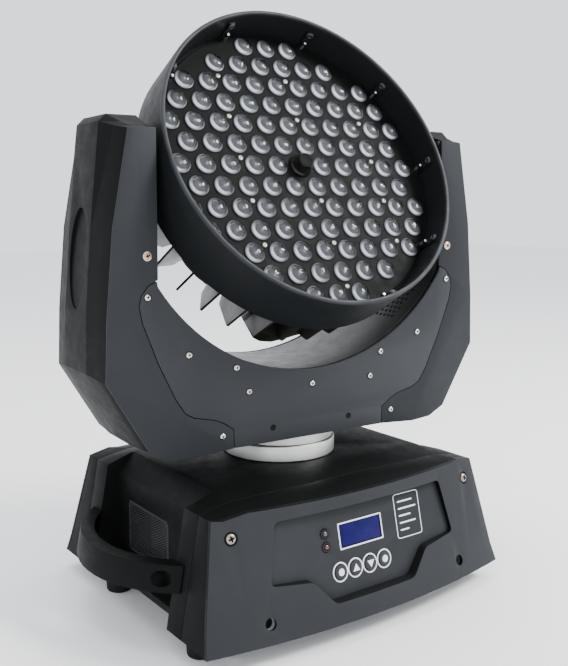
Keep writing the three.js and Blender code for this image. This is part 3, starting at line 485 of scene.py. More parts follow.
def piece(name, bm, materials, place, body, replaces=(), bevel=0.0, merge=False, baked=False):
    """Adds a piece, drawn in millimetres in the local frame of place, riding on a body.

    A baked piece has its place in its mesh, which keeps its bounds tight.
    """
    mesh = bpy.data.meshes.new(name)
    bm.to_mesh(mesh)
    bm.free()
    mesh.transform(Matrix.Scale(MM, 4))
    obj = bpy.data.objects.new(name, mesh)
    bpy.context.scene.collection.objects.link(obj)
    if baked:
        mesh.transform(place)
    else:
        obj.matrix_world = place
    for material in materials if isinstance(materials, tuple) else (materials,):
        mesh.materials.append(material)
    finish_edges(obj, bevel, merge=merge)
    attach(obj, body)
    if replaces:
        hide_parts(*replaces)


def lathe_into(bm, profile, segments, place=Matrix.Identity(4), material=0, closed=True):
    """Turns (radius, along) pairs about the local +Z axis. A radius of 0 closes on the axis.

    A profile off the axis is closed from its end to its start, unless closed is false.
    """
    rings = []
    for radius, along in profile:
        if radius == 0:
            rings.append([bm.verts.new(place @ Vector((0, 0, along)))])
            continue
        ring = []
        for k in range(segments):
            a = 2 * math.pi * k / segments
            spot = Vector((radius * math.cos(a), radius * math.sin(a), along))
            ring.append(bm.verts.new(place @ spot))
        rings.append(ring)
    pairs = list(zip(rings, rings[1:]))
    if closed and profile[0][0] > 0 and profile[-1][0] > 0:
        pairs.append((rings[-1], rings[0]))
    for low, high in pairs:
        for k in range(segments):
            n = (k + 1) % segments
            if len(low) == 1:
                face = (low[0], high[n], high[k])
            elif len(high) == 1:
                face = (low[k], low[n], high[0])
            else:
                face = (low[k], low[n], high[n], high[k])
            bm.faces.new(face).material_index = material


# Local +Z of a lathe onto -Y, the way out of a front face or the lamp head
OUT = Matrix(((1, 0, 0, 0), (0, 0, -1, 0), (0, 1, 0, 0), (0, 0, 0, 1)))


def box_into(bm, low, high, place):
    (x0, y0, z0), (x1, y1, z1) = low, high
    corners = [Vector((x, y, z)) for x in (x0, x1) for y in (y0, y1) for z in (z0, z1)]
    verts = [bm.verts.new(place @ c) for c in corners]
    for ids in ((0, 1, 3, 2), (4, 6, 7, 5), (0, 4, 5, 1), (2, 3, 7, 6), (0, 2, 6, 4), (1, 5, 7, 3)):
        bm.faces.new([verts[i] for i in ids])


def prism_into(bm, front, back):
    """Closes two matching loops of points into a solid."""
    bm.faces.new(front)
    bm.faces.new(back[::-1])
    for i in range(len(front)):
        bm.faces.new((front[i - 1], back[i - 1], back[i], front[i]))


def tidy_normals(bm):
    bmesh.ops.recalc_face_normals(bm, faces=bm.faces)
    return bm


def ring_outline(points, width):
    """Inner copy of a closed outline, width inside it."""
    inner = []
    count = len(points)
    for i, p in enumerate(points):
        a, b = Vector(points[i - 1]), Vector(points[(i + 1) % count])
        u, v = (Vector(p) - a).normalized(), (b - Vector(p)).normalized()
        m = Vector((-(u.y + v.y), u.x + v.x))
        inner.append(Vector(p) + m * (width / max(0.3, 1 + u.dot(v))))
    return inner


# How far a print stands out of its face, and how far it reaches into it
INK_OUT, INK_IN = 0.12, 0.05


def print_line(bm, points, width, place):
    """A printed line of that width along a closed outline in X-Z, lying on y = 0."""
    outer, inner = [Vector(p) for p in points], ring_outline(points, width)
    loops = []
    for y in (INK_IN, -INK_OUT):
        for ring in (outer, inner):
            loops.append([bm.verts.new(place @ Vector((q.x, y, q.y))) for q in ring])
    count = len(points)
    back_out, back_in, out, inn = loops
    for i in range(count):
        n = (i + 1) % count
        bm.faces.new((out[i], out[n], inn[n], inn[i]))
        bm.faces.new((out[i], back_out[i], back_out[n], out[n]))
        bm.faces.new((inn[n], back_in[n], back_in[i], inn[i]))
        bm.faces.new((back_out[i], back_in[i], back_in[n], back_out[n]))


def rounded_rect(x, z, w, h, r, steps=5):
    points = []
    u, v = w / 2 - r, h / 2 - r
    for cx, cz, start in ((u, v, 0), (-u, v, 90), (-u, -v, 180), (u, -v, 270)):
        for k in range(steps + 1):
            a = math.radians(start + 90 * k / steps)
            points.append((x + cx + r * math.cos(a), z + cz + r * math.sin(a)))
    return points


def circle(r, steps=40):
    angles = [2 * math.pi * k / steps for k in range(steps)]
    return [(r * math.cos(a), r * math.sin(a)) for a in angles]


# ------------------------------------------------------------------ screws

# Height of a head's straight side and size of its cross recess, as shares of its height or radius
HEAD_SIDE, CROSS_ARM, CROSS_HALF, CROSS_TAPER, CROSS_FLOOR = 0.35, 0.66, 0.2, 0.7, 0.1
SCREW_SEAT = -0.4


def cross_mesh(arm, half, height):
    """A tapered cross, from the floor of a screw's recess to above its head."""
    bm = bmesh.new()
    points = []
    for k in range(4):
        turn = Matrix.Rotation(k * math.pi / 2, 2)
        points += [turn @ Vector((half, half)), turn @ Vector((half, arm)), turn @ Vector((-half, arm))]
    top = [bm.verts.new((p.x, p.y, height + 1)) for p in points]
    low = [bm.verts.new((p.x * CROSS_TAPER, p.y * CROSS_TAPER, height * CROSS_FLOOR)) for p in points]
    prism_into(bm, top, low)
    mesh = bpy.data.meshes.new("cross")
    tidy_normals(bm).to_mesh(mesh)
    bm.free()
    return mesh


def screw_mesh(radius, height):
    """Pan head screw with a cross recess, its seat at z = 0 and its head towards +Z."""
    bm = bmesh.new()
    profile = [(0, SCREW_SEAT), (radius, SCREW_SEAT), (radius, height * HEAD_SIDE)]
    for k in range(1, 6):
        a = math.radians(15 * k)
        rise = HEAD_SIDE + (1 - HEAD_SIDE) * math.sin(a)
        profile.append((radius * math.cos(a) ** 0.8, height * rise))
    profile.append((0, height))
    lathe_into(bm, profile, 28)
    head = bpy.data.meshes.new("screw_head")
    tidy_normals(bm).to_mesh(head)
    bm.free()
    arm = radius * CROSS_ARM
    body = bpy.data.objects.new("screw_work", head)
    tool = bpy.data.objects.new("cross_work", cross_mesh(arm, radius * CROSS_HALF, height))
    for o in (body, tool):
        bpy.context.scene.collection.objects.link(o)
    cut = body.modifiers.new("cross", "BOOLEAN")
    cut.operation = "DIFFERENCE"
    cut.object = tool
    cut.solver = "EXACT"
    graph = bpy.context.evaluated_depsgraph_get()
    made = bpy.data.meshes.new_from_object(body.evaluated_get(graph))
    # Faces inside the cross recess take the second material, painted shade in the recess
    for face in made.polygons:
        inside = math.hypot(face.center.x, face.center.y) < arm and 0 < face.center.z < height * 0.8
        face.material_index = 1 if inside else 0
    bpy.data.objects.remove(body)
    bpy.data.objects.remove(tool)
    return made


def screws(name, spots, radius, height, look, recess, place, body, replaces=()):
    """Screws at spots, each a matrix whose +Z is the way out of the surface, no two turned alike. The recess
    material is painted shade inside each cross.
    """
    base = screw_mesh(radius, height)
    bm = bmesh.new()
    for index, spot in enumerate(spots):
        copy = base.copy()
        copy.transform(spot @ Matrix.Rotation(0.7 * index + 0.3, 4, "Z"))
        bm.from_mesh(copy)
        bpy.data.meshes.remove(copy)
    piece(name, bm, (look, recess), place, body, replaces)


def on_front(x, z, y, lean=0.0, turn=0.0):
    """Matrix of a spot on a face that looks along -Y, leaning back by lean."""
    aim = Matrix.Rotation(-turn, 4, "Z") @ Matrix.Rotation(-lean, 4, "X")
    return Matrix.Translation((x, y, z)) @ aim @ OUT


# ------------------------------------------------------------------ lamp head

LATTICE_ROWS, LATTICE_COLUMNS = 6, 7
LENS_SEAT = FRONT + 1.2
PLATE_GAP, PLATE_THICK = 3.5, 2.6
# How far the ring's straight wall starts behind its front edge
LIP_DEPTH = 3
# Clips: reach inward from the ring's wall, start behind its front edge, hook's span before the lens plate
TAB_REACH, TAB_START, TAB_HALF = 2.4, 10, 3.9
HOOK_REACH, HOOK_LOW, HOOK_HIGH, HOOK_HALF = 6.5, 6.5, 9, 2.4
CLIP_HEAD_START, CLIP_HEAD_REACH = 14, 2.2
PIN_REACH, PIN_R, PIN_END = 4.8, 1.5, FRONT + 9.6


def lattice():
    """Centres of the lenses: a hexagonal lattice inside a circle, without its middle."""
    points = []
    for j in range(-LATTICE_ROWS, LATTICE_ROWS + 1):
        for i in range(-LATTICE_COLUMNS, LATTICE_COLUMNS + 1):
            x = (i + (abs(j) % 2) / 2) * PITCH
            z = j * PITCH * math.sqrt(3) / 2
            if 1 < math.hypot(x, z) < LATTICE_LIMIT:
                points.append((x, z))
    return points


def make_ring(m):
    inner = RING_R - RING_WALL
    back = [
        (inner, RING_FRONT + LIP_DEPTH), (inner, RING_BACK - 0.5), (inner + 0.6, RING_BACK),
        (RING_REAR_R - 0.8, RING_BACK), (RING_REAR_R - 0.25, RING_BACK - 0.6),
        (RING_R - 0.15, RING_FRONT + 2.6),
    ]
    lip = [
        (RING_R - 0.15, RING_FRONT + 2.6), (RING_R - 0.5, RING_FRONT + 0.9),
        (RING_R - 1.4, RING_FRONT + 0.15), (RING_R - 2.2, RING_FRONT),
        (inner + 1.5, RING_FRONT), (inner + 0.7, RING_FRONT + 0.25),
        (inner + 0.1, RING_FRONT + 1.2), (inner, RING_FRONT + LIP_DEPTH),
    ]
    bm = bmesh.new()
    lathe_into(bm, [(r, -y) for r, y in back], 220, OUT, 0, False)
    lathe_into(bm, [(r, -y) for r, y in lip], 220, OUT, 1, False)
    bmesh.ops.remove_doubles(bm, verts=bm.verts, dist=0.001)
    looks = (m["ring"], m["ring_lip"])
    piece("hood_ring", tidy_normals(bm), looks, AT_HEAD, "head", ("front_ring",), baked=True)


def make_clips(m):
    """Flat tabs on the inner wall of the ring, each with a round head, a hook and a bright pin."""
    inner = RING_R - RING_WALL
    bm, heads, pins = bmesh.new(), bmesh.new(), bmesh.new()
    head = [(0, -0.2), (4.1, -0.2), (4.1, 0.9), (3.5, 1.7), (1.9, 2.1), (1.4, 1.5), (0, 1.4)]
    pin = [
        (0, FRONT - 0.5), (PIN_R, FRONT - 0.5), (PIN_R, PIN_END), (PIN_R - 0.5, PIN_END + 0.6),
        (0, PIN_END + 0.6),
    ]
    inward = Matrix.Rotation(-math.pi / 2, 4, "Y")
    for k in range(CLIPS):
        turn = Matrix.Rotation(-2 * math.pi * k / CLIPS, 4, "Y")
        low, high = (inner - TAB_REACH, RING_FRONT + TAB_START), (inner + 0.5, PLATE_Y + 3)
        box_into(bm, (*low, -TAB_HALF), (*high, TAB_HALF), turn)
        low, high = (inner - HOOK_REACH, PLATE_Y - HOOK_HIGH), (inner - 1, PLATE_Y - HOOK_LOW)
        box_into(bm, (*low, -HOOK_HALF), (*high, HOOK_HALF), turn)
        spot = Matrix.Translation((inner - CLIP_HEAD_REACH, RING_FRONT + CLIP_HEAD_START, 0))
        lathe_into(heads, head, 24, turn @ spot @ inward)
        lathe_into(pins, pin, 14, turn @ Matrix.Translation((inner - PIN_REACH, 0, 0)) @ OUT)
    looks = m["ring"]
    piece("ring_clips", tidy_normals(bm), looks, AT_HEAD, "head", bevel=0.6, merge=True)
    piece("clip_heads", tidy_normals(heads), m["dull_steel"], AT_HEAD, "head")
    piece("clip_pins", tidy_normals(pins), m["bright"], AT_HEAD, "head")


def make_lens_face(m):
    """The lens plate, with a low collar round each lens."""
    disc_r, back = RING_R - RING_WALL - PLATE_GAP, FRONT - PLATE_THICK
    bm = bmesh.new()
    disc = [(0, FRONT), (disc_r - 0.5, FRONT), (disc_r, FRONT - 0.5), (disc_r, back), (0, back)]
    lathe_into(bm, disc, 160, OUT)
    collar = [
        (LENS_R + 0.15, FRONT - 0.2), (LENS_R + 1.3, FRONT - 0.2), (LENS_R + 1.1, FRONT + 0.3),
        (LENS_R + 0.5, FRONT + 0.5), (LENS_R + 0.15, FRONT + 0.4),
    ]
    for x, z in lattice():
        lathe_into(bm, collar, 36, Matrix.Translation((x, 0, z)) @ OUT)
    piece("led_face", tidy_normals(bm), m["led_plate"], AT_HEAD, "head", ("face_plate",))


# Painted light on the bowls: the way a bowl's painted pale side looks, in degrees, and where each bowl's
# painted glint lies
PALE_SIDE, GLINT_AT, GLINT_AREA = 215, (-1.5, -1.9), 0.9


def paint_bowl_light(x, z, lamp):
    """Paleness of a bowl at (x, z) from its middle, all painted light: a painted highlight low on the left
    and a painted glint, painted shade high on the right.
    """
    r = math.hypot(x, z)
    side = math.cos(math.atan2(z, x) - math.radians(PALE_SIDE))
    glint = math.exp(-((x - GLINT_AT[0]) ** 2 + (z - GLINT_AT[1]) ** 2) / GLINT_AREA)
    dark = min(1.0, max(0.0, (r - 1.2) / 4.0)) * max(0.0, -side) ** 0.7
    pale = min(1.0, max(0.0, (r - 7.5) / 0.9)) * max(0.0, side) ** 1.6
    return (0.050 + 0.026 * side + 0.34 * lamp * glint) * (1 - 0.95 * dark) + pale


# Radii of a bowl's rings of points, the radius and height of its curve, and its number of sides
BOWL_RADII = (1.0, 2.0, 3.0, 4.0, 5.0, 6.0, 6.8, 7.4, 8.0, 8.6, 9.1)
BOWL_RIM, BOWL_CROWN, BOWL_SIDES = 9.3, 4.7, 28


def bowl_into(bm, x, z, lamp, layer):
    """A closed bowl at (x, z), with its painted light and shade stored as tone on its points."""
    loops = []
    for r in BOWL_RADII:
        loop = []
        y = PLATE_Y - 0.9 - BOWL_CROWN * math.sqrt(1 - (r / BOWL_RIM) ** 2)
        for k in range(BOWL_SIDES):
            a = 2 * math.pi * k / BOWL_SIDES
            u, v = r * math.cos(a), r * math.sin(a)
            vert = bm.verts.new(Vector((x + u, y, z + v)))
            vert[layer] = paint_bowl_light(u, v, lamp)
            loop.append(vert)
        loops.append(loop)
    foot = [bm.verts.new(Vector((vert.co.x, PLATE_Y - 0.1, vert.co.z))) for vert in loops[-1]]
    loops.append(foot)
    bm.faces.new(loops[0])
    bm.faces.new(foot[::-1])
    for low, high in zip(loops, loops[1:]):
        for k in range(BOWL_SIDES):
            n = (k + 1) % BOWL_SIDES
            bm.faces.new((low[k], low[n], high[n], high[k]))


def make_bowls(m):
    """Bowls that fill the domes from inside, with painted light and shade, and the pale edge round each
    dome, a painted highlight of its rim.
    """
    edge = [
        (LENS_R - 0.3, FRONT + 0.1), (LENS_R + 0.1, FRONT + 0.1), (LENS_R + 0.05, FRONT + 1.3),
        (LENS_R - 0.3, FRONT + 1.4),
    ]
    chance = random.Random(4)
    bm = bmesh.new()
    layer = bm.verts.layers.float.new("tone")
    for x, z in lattice():
        lathe_into(bm, edge, BOWL_SIDES, Matrix.Translation((x, 0, z)) @ OUT, 1)
        # Each bowl's painted glint gets its own random strength
        bowl_into(bm, x, z, chance.uniform(0.5, 1.6), layer)
    piece("bowls", tidy_normals(bm), (m["bowl"], m["lens_rim_highlight"]), AT_HEAD, "head")


def make_optics(m):
    """Clear domes. Their flat side lies just under the faces of the bowls, with no air between."""
    radius, crown, steps = LENS_R - 0.35, 4.9, 8
    dome = [(0, FRONT + 0.02), (radius, FRONT + 0.02), (radius, LENS_SEAT)]
    for k in range(1, steps):
        a = math.radians(90 * k / steps)
        dome.append((radius * math.cos(a), LENS_SEAT + crown * math.sin(a)))
    dome.append((0, LENS_SEAT + crown))
    glass = bmesh.new()
    for x, z in lattice():
        lathe_into(glass, dome, 32, Matrix.Translation((x, 0, z)) @ OUT)
    piece("optics", tidy_normals(glass), m["optic"], AT_HEAD, "head", ("lens_array",))


# Radii kept free of small screws: round the knob, and inside the lattice's edge
KNOB_CLEAR, EDGE_CLEAR = 16, 6


def make_face_screws(m):
    """Small screws and open holes in some of the gaps between three lenses, the holes as dark discs of
    painted shade, and a dark ring of painted shade in the gap round the plate, behind its front.
    """
    spots, holes = [], []
    for j in range(-LATTICE_ROWS, LATTICE_ROWS):
        for i in range(-LATTICE_COLUMNS, LATTICE_COLUMNS + 1):
            x = (i + 0.5 + (abs(j) % 2) / 2) * PITCH
            z = (j + 1 / 3) * PITCH * math.sqrt(3) / 2
            if not KNOB_CLEAR < math.hypot(x, z) < LATTICE_LIMIT - EDGE_CLEAR:
                continue
            if (2 * i + 3 * j) % 6 == 0:
                spots.append(on_front(x, z, PLATE_Y))
            elif (i + 4 * j) % 10 == 5:
                holes.append((x, z))
    screws("face_screws", spots, 2.3, 1.5, m["brass"], m["hole"], AT_HEAD, "head")
    bm = bmesh.new()
    # Dark discs for open holes: painted shade
    hole = [(0, FRONT + 0.1), (1.5, FRONT + 0.1), (1.7, FRONT - 0.3), (0, FRONT - 0.3)]
    for x, z in holes:
        lathe_into(bm, hole, 14, Matrix.Translation((x, 0, z)) @ OUT)
    # A dark ring in the gap between the plate and the ring's wall: painted shade
    gap_shade_in, gap_shade_out = RING_R - RING_WALL - 4.2, RING_R - RING_WALL - 0.4
    top, low = FRONT - 2.2, FRONT - 2.9
    lathe_into(bm, [(gap_shade_in, top), (gap_shade_out, top), (gap_shade_out, low), (gap_shade_in, low)], 120, OUT)
    piece("face_holes", tidy_normals(bm), m["hole"], AT_HEAD, "head")


def make_knob(m):
    """Black knob in the middle: a wide foot, a tapered grip and a dished tip."""
    side = [
        (0, FRONT + 0.2), (12.5, FRONT + 0.2), (12.7, FRONT + 1.0), (12.3, FRONT + 2.4), (11.2, FRONT + 3.6),
        (10.6, FRONT + 4.6), (8.6, FRONT + 12.2), (8.0, FRONT + 13.2),
    ]
    tip = [(8.0, FRONT + 13.2), (6.6, FRONT + 13.6), (5.2, FRONT + 13.2), (0, FRONT + 12.6)]
    bm = bmesh.new()
    lathe_into(bm, side, 48, OUT, 0, False)
    lathe_into(bm, tip, 48, OUT, 1, False)
    bmesh.ops.remove_doubles(bm, verts=bm.verts, dist=0.001)
    piece("knob", tidy_normals(bm), (m["knob"], m["hole"]), AT_HEAD, "head", ("centre_knob",))


def make_head(m):
    make_ring(m)
    make_clips(m)
    make_lens_face(m)
    make_bowls(m)
    make_optics(m)
    make_face_screws(m)
    make_knob(m)
    dress("heat_sink", m["fins"], 0.9, 3)
    dress("rear_housing", m["shell"], 0.8)
    dress("fan_rotor", m["fan"], 0.4)
    for side in ("right", "left"):
        dress(f"axle_{side}", m["steel"], 0.4)
    dress("tilt_pulley", m["collar"], 0.2)


# ------------------------------------------------------------------ yoke

# Places of screws and holes on the yoke's faces, as X and Z on the right half
PLATE_SCREWS, MIDDLE_SCREW = [(140, 265), (89, 248), (75, 223), (181, 321)], (0, 223)
ARM_SCREWS = [(181, 358)]
DARK_HOLES = [(47, 183.5)]
SHELL_SCREWS = [(104.5, 182.5)]
# First angle, angle step, first Y, row pitch and shift of every other column of the wall's small holes
PORES_FROM, PORES_STEP, PORES_Y, PORES_PITCH, PORES_SHIFT = -52.3, 1.87, -38.5, 6.5, 3.2
PORE_COLUMNS, PORE_ROWS = 7, 12


def both_sides(points):
    return [(sign * x, z) for x, z in points for sign in (-1, 1)]


def make_yoke_screws(m):
    """Screws of the arm panels, crescent plates and arm shells, with washers, and with outlines and open
    holes in painted shade.
    """
    for name, place in (("front", AT_YOKE), ("rear", AT_YOKE @ AT_REAR)):
        plate = [on_front(x, z, -YOKE_FACE) for x, z in both_sides(PLATE_SCREWS) + [MIDDLE_SCREW]]
        screws(f"plate_screws_{name}", plate, 3.0, 1.6, m["nickel"], m["hole"], place, "yoke")
        arms = [on_front(x, z, -YOKE_FACE) for x, z in both_sides(ARM_SCREWS)]
        screws(f"arm_screws_{name}", arms, 3.3, 1.8, m["copper"], m["hole"], place, "yoke")
        washers = bmesh.new()
        for spot in arms:
            lathe_into(washers, [(3.1, 0.05), (4.3, 0.05), (4.2, 0.9), (3.5, 1.1), (3.1, 0.7)], 32, spot)
        piece(f"arm_washers_{name}", tidy_normals(washers), m["nickel"], place, "yoke")
        low = [on_front(x, z, -YOKE_FACE) for x, z in both_sides(SHELL_SCREWS)]
        screws(f"shell_screws_{name}", low, 2.9, 1.4, m["nickel"], m["hole"], place, "yoke")
        holes = bmesh.new()
        # Dark rings round the plate screws: a painted shadow gap
        for spot in plate:
            lathe_into(holes, [(2.9, 0.02), (3.6, 0.02), (3.5, 0.14), (2.9, 0.14)], 28, spot)
        # Dark discs for open holes: painted shade
        open_hole = [(0, 0.08), (2.2, 0.08), (2.9, 0.3), (3.3, 0.1), (3.3, -0.4), (0, -0.4)]
        for x, z in both_sides(DARK_HOLES):
            lathe_into(holes, open_hole, 20, on_front(x, z, -YOKE_FACE))
        piece(f"plate_holes_{name}", tidy_normals(holes), m["hole"], place, "yoke")


def make_perforation(m):
    """Small round holes in the curved wall under the head, on both sides, as dark discs of painted shade."""
    bm = bmesh.new()
    r = ARC_R - 0.4
    hole = [(0, 0.15), (1.8, 0.15), (2.0, 0.05), (2.0, -0.2), (0, -0.2)]
    for side in (-1, 1):
        for column in range(PORE_COLUMNS):
            for row in range(PORE_ROWS):
                angle = math.radians(PORES_FROM + column * PORES_STEP)
                y = PORES_Y + row * PORES_PITCH + (column % 2) * PORES_SHIFT
                spot = Matrix.Translation((side * r * math.cos(angle), y, ARC_Z + r * math.sin(angle)))
                inward = Vector((-side * math.cos(angle), 0, -math.sin(angle)))
                spot = spot @ inward.to_track_quat("Z", "Y").to_matrix().to_4x4()
                lathe_into(bm, hole, 14, spot)
    piece("wall_perforation", tidy_normals(bm), m["hole"], AT_YOKE, "yoke")


def make_collar(m):
    """The pan column with its collar and fixed pulley, and the yoke's collar above it."""
    seat = BASE_TOP + 0.3
    low = [
        (COLUMN_BORE, COLUMN_LOW), (COLUMN_R + 8, COLUMN_LOW), (COLUMN_R + 8, seat), (COLLAR_R - 0.8, seat),
        (COLLAR_R, BASE_TOP + 1.1), (COLLAR_R, COLLAR_TOP - 1.9), (COLLAR_R - 0.5, COLLAR_TOP - 0.7),
        (COLLAR_R - 1.6, COLLAR_TOP), (COLUMN_R, COLLAR_TOP), (COLUMN_R, PULLEY_Z), (PAN_FLANGE_R, PULLEY_Z),
        (PAN_FLANGE_R, PULLEY_Z + 1.2), (PAN_PULLEY_R, PULLEY_Z + 1.2), (PAN_PULLEY_R, PULLEY_Z + 8.8),
        (PAN_FLANGE_R, PULLEY_Z + 8.8), (PAN_FLANGE_R, PULLEY_Z + 10), (COLUMN_R - 2, PULLEY_Z + 10),
        (COLUMN_R - 2, COLUMN_TOP), (COLUMN_BORE, COLUMN_TOP),
    ]
    bm = bmesh.new()
    lathe_into(bm, low, 128)
    piece("pan_collar", tidy_normals(bm), m["collar"], AT_BASE, "base", ("pan_column",))
    bore, rim = COLUMN_R + 0.4, COLLAR_R - 2
    high = [
        (bore, HUB_LOW), (rim - 0.6, HUB_LOW), (rim, HUB_LOW + 0.6), (rim, HUB_TOP - 0.6),
        (rim - 0.6, HUB_TOP), (NECK_R, HUB_TOP), (NECK_R, NECK_TOP), (bore, NECK_TOP),
    ]
    bm = bmesh.new()
    lathe_into(bm, high, 128)
    piece("yoke_collar", tidy_normals(bm), m["collar"], AT_YOKE, "yoke", ("yoke_hub",))


def make_yoke(m):
    for side in ("left", "right"):
        dress(f"arm_shell_{side}", m["shell"], 3.0, 4, 12, SOFT)
        for face in ("front", "rear"):
            dress(f"arm_panel_{face}_{side}", m["arm"], 0.5)
    for face in ("front", "rear"):
        dress(f"yoke_plate_{face}", m["plate"], 0.5)
    dress("yoke_inner_wall", m["wall"], 0.3)
    dress("yoke_bottom", m["shell"], 0.3)
    dress("yoke_frame", m["steel"], 0.4)
    for drive in ("pan", "tilt"):
        dress(f"{drive}_motor", m["motor"], 0.5)
        dress(f"{drive}_motor_pulley", m["collar"], 0.2)
        dress(f"{drive}_belt", m["belt"], 0.2)
    make_yoke_screws(m)
    make_perforation(m)
    make_collar(m)


# ------------------------------------------------------------------ base

FLOOR_LEAN = math.atan(FACE_SLOPE)
KEYS = ("enter", "up", "down", "menu")
LABEL_X, LABEL_Z, LABEL_W, LABEL_H = 61.2, 94, 34, 44
LABEL_BARS, BAR_PITCH = (20, 24, 16, 22, 12), 7
SYMBOL_OUT = 1.6
PANEL_SCREW_R, PANEL_SCREW_H, PANEL_SCREW_SUNK = 4.8, 3.0, 1.3
WELL_R, WELL_DEPTH = 5.2, 7.5


def floor_y(z):
    return -(FACE_TOP_Y + FACE_SLOPE * (FACE_TOP_Z - z) + RECESS_SET)


def face_y(x, z):
    return -(FACE_TOP_Y + FACE_SLOPE * (FACE_TOP_Z - z) + BOW * (1 - (x / BOW_HALF) ** 2))


def on_recess(x, z):
    """Frame whose X-Z plane is the recess floor at that spot, with -Y out of it."""
    return Matrix.Translation((x, floor_y(z), z)) @ Matrix.Rotation(-FLOOR_LEAN, 4, "X")


def on_panel(x, z):
    turn = math.atan(-2 * BOW * x / BOW_HALF ** 2)
    return on_front(x, z, face_y(x, z), FLOOR_LEAN, turn)


def make_prints(m):
    """Outlines of the display and keys, and a label that is a plain frame with plain bars."""
    bm = bmesh.new()
    d = DISPLAY
    print_line(bm, rounded_rect(0, 0, d["w"] + 3.4, d["h"] + 3.4, 0.8, 2), 1.3, on_recess(d["x"], d["z"]))
    for k in range(len(KEYS)):
        print_line(bm, circle(BUTTON_R + 2.1), 1.35, on_recess(BUTTON_X + BUTTON_PITCH * k, BUTTON_Z))
    label = on_recess(LABEL_X, LABEL_Z)
    print_line(bm, rounded_rect(0, 0, LABEL_W, LABEL_H, 3.2), 0.8, label)
    for k, width in enumerate(LABEL_BARS):
        x, z = (width - max(LABEL_BARS)) / 2, BAR_PITCH * (2 - k)
        print_line(bm, rounded_rect(x, z, width, 1.5, 0.4, 2), 0.74, label)
    piece("panel_prints", tidy_normals(bm), m["white"], AT_BASE, "base")


def make_keys(m):
    """The keys, each with a dot or a triangle printed on it."""
    for k, key in enumerate(KEYS):
        bm = bmesh.new()
        spot = on_recess(BUTTON_X + BUTTON_PITCH * k, BUTTON_Z) @ Matrix.Translation((0, -SYMBOL_OUT, 0))
        if key in ("enter", "menu"):
            shape = circle(3.4, 28)
        else:
            sign = 1 if key == "up" else -1
            shape = [(-4.2, -2.9 * sign), (4.2, -2.9 * sign), (0, 4.0 * sign)][::sign]
        face = [bm.verts.new(spot @ Vector((x, -INK_OUT, z))) for x, z in shape]
        back = [bm.verts.new(spot @ Vector((x, INK_IN, z))) for x, z in shape]
        prism_into(bm, face, back)
        piece(f"key_symbol_{key}", tidy_normals(bm), m["white"], AT_BASE, f"key_{key}")
        dress(f"button_{key}", m["key"], 0.5, 3)


def make_display(m):
    half_w, half_h = DISPLAY["w"] / 2 - 0.35, DISPLAY["h"] / 2 - 0.35
    bm = bmesh.new()
    box_into(bm, (-half_w, 0.5, -half_h), (half_w, 3.9, half_h), on_recess(DISPLAY["x"], DISPLAY["z"]))
    tidy_normals(bm)
    piece("display_window", bm, m["screen"], AT_BASE, "base", ("display",), bevel=0.3, merge=True)


def make_lamps(m):
    """Two small indicator lamps, each in a black bezel."""
    looks = (("signal", "clear_lamp", "lamp_clear"), ("sound", "red_lamp", "lamp_red"))
    rim = [(2.5, -0.2), (4.9, -0.2), (4.9, 0.7), (4.4, 1.2), (3.2, 1.2), (2.5, 0.5)]
    lamp = [(0, -5.5), (2.4, -5.5), (2.4, 0.6), (2.2, 1.3), (1.5, 1.9), (0.7, 2.15), (0, 2.2)]
    for z, (name, look, slot) in zip(LAMP_ZS, looks):
        spot = on_recess(LAMP_X, z) @ OUT
        bezel = bmesh.new()
        lathe_into(bezel, rim, 32, spot)
        piece(f"{name}_bezel", tidy_normals(bezel), m["knob"], AT_BASE, "base")
        dome = bmesh.new()
        lathe_into(dome, lamp, 24, spot)
        piece(f"{name}_lamp", tidy_normals(dome), m[look], AT_BASE, "base", (f"indicator_{name}",))


# Depth of a vent's frame, and of its bars' fronts and backs behind the frame's front
VENT_DEEP, BAR_FRONT, BAR_BACK = 1.7, 0.3, 1.5
# How far inside the vent's outline its bars end, and the shortest one kept
BAR_INSET, BAR_SHORTEST = 2.2, 2


def vent_frame_into(bm, flip):
    outer = rounded_rect(0, (VENT_LOW + VENT_HIGH) / 2, 2 * VENT_HALF_Y, VENT_HIGH - VENT_LOW, 1.0, 2)
    inner = [tuple(q) for q in ring_outline(outer, VENT_FRAME)]
    loops = []
    for x in (VENT_X - VENT_DEEP, VENT_X):
        for ring in (outer, inner):
            loops.append([bm.verts.new((x, flip * (y - VENT_Y), z)) for y, z in ring])
    count = len(outer)
    for i in range(count):
        n = (i + 1) % count
        for p, q in ((0, 2), (1, 3), (2, 3), (1, 0)):
            bm.faces.new((loops[p][i], loops[p][n], loops[q][n], loops[q][i]))


def vent_bars_into(bm, flip):
    """Slanted bars, each cut short where it would leave the frame."""
    half_y, z0, z1 = VENT_HALF_Y - BAR_INSET, VENT_LOW + BAR_INSET, VENT_HIGH - BAR_INSET
    climb, half = 2 * half_y * VENT_RISE, VENT_BAR / 2
    for k in range(round((z1 - z0 + climb) / VENT_PITCH)):
        middle = z0 - climb / 2 + (k + 0.5) * VENT_PITCH
        ya, yb = -half_y, half_y
        za, zb = middle - climb / 2, middle + climb / 2
        if za < z0:
            ya, za = ya + (z0 - za) / VENT_RISE, z0
        if zb > z1:
            yb, zb = yb - (zb - z1) / VENT_RISE, z1
        if yb - ya < BAR_SHORTEST:
            continue
        corners = [(ya, za - half), (yb, zb - half), (yb, zb + half), (ya, za + half)]
        back = [bm.verts.new((VENT_X - BAR_BACK, flip * (y - VENT_Y), z)) for y, z in corners]
        front = [bm.verts.new((VENT_X - BAR_FRONT, flip * (y - VENT_Y), z)) for y, z in corners]
        prism_into(bm, front, back)


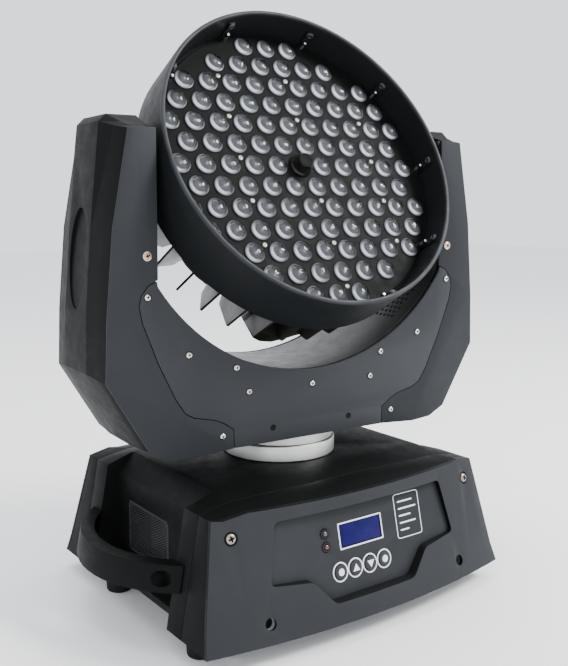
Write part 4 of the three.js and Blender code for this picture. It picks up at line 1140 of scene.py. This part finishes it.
def make_vents(m):
    """Fine slanted bars in a thin frame, one on each side, rising towards the front."""
    for name, place, flip in (("left", AT_REAR, 1), ("right", AT_BASE, -1)):
        bm = bmesh.new()
        vent_frame_into(bm, flip)
        vent_bars_into(bm, flip)
        piece(f"vent_mesh_{name}", tidy_normals(bm), m["vent"], place, "base", (f"vent_{name}",))


def make_feet(m):
    """Rubber feet with a hollow in the middle of the sole."""
    for y, end in zip(FOOT_YS, ("front", "rear")):
        for x, side in ((-FOOT_X, "left"), (FOOT_X, "right")):
            bm = bmesh.new()
            profile = [
                (0, 0.9), (6, 0.9), (6.6, 0.2), (7.4, 0), (FOOT_R - 3.2, 0), (FOOT_R - 2.2, 0.5),
                (FOOT_R - 1.7, 1.6), (FOOT_R - 0.2, FOOT_TOP - 6), (FOOT_R, FOOT_TOP - 5),
                (FOOT_R, FOOT_TOP), (0, FOOT_TOP),
            ]
            lathe_into(bm, profile, 56, Matrix.Translation((x, y, 0)))
            name = f"{end}_{side}"
            tidy_normals(bm)
            piece(f"foot_pad_{name}", bm, m["rubber"], AT_BASE, "base", (f"foot_{name}",))


def make_base(m):
    for node in ("base_shell", "handle_left", "handle_right"):
        dress(node, m["shell"], 1.4, 3)
    for node in ("front_cover", "rear_cover"):
        dress(node, m["shell"], 1.0, 3)
    for node in ("control_panel", "rear_panel"):
        dress(node, m["panel"], 1.0, 3, 16)
    dress("bottom_plate", m["steel"], 0.3)
    dress("power_supply", m["steel"], 0.8)
    dress("control_board", m["board"], 0.2)
    for node in ("signal_in", "signal_out", "power_inlet"):
        dress(node, m["fan"], 0.4)
    sunk = Matrix.Translation((0, 0, -PANEL_SCREW_SUNK))
    spots = [on_panel(x, z) @ sunk for x, z in both_sides([UPPER_SCREW])]
    nodes = ("cover_screw_left", "cover_screw_right")
    sizes = (PANEL_SCREW_R, PANEL_SCREW_H)
    screws("panel_screws", spots, *sizes, m["aged"], m["hole"], AT_BASE, "base", nodes)
    screws("rear_panel_screws", spots, *sizes, m["aged"], m["hole"], AT_REAR, "base")
    # Dark discs deep in the lower wells: painted shade at their floors
    plugs = bmesh.new()
    plug = [(0, -WELL_DEPTH), (WELL_R, -WELL_DEPTH), (WELL_R, -WELL_DEPTH - 1), (0, -WELL_DEPTH - 1)]
    for x, z in both_sides([LOWER_SCREW]):
        lathe_into(plugs, plug, 24, on_panel(x, z))
    both = plugs.copy()
    piece("lower_well_shade", tidy_normals(plugs), m["hole"], AT_BASE, "base")
    piece("rear_well_shade", tidy_normals(both), m["hole"], AT_REAR, "base")
    make_prints(m)
    make_keys(m)
    make_display(m)
    make_lamps(m)
    make_vents(m)
    make_feet(m)


make_camera()
make_lights()
make_floor()
MATERIALS = make_materials()
make_head(MATERIALS)
make_yoke(MATERIALS)
make_base(MATERIALS)
bpy.context.view_layer.update()
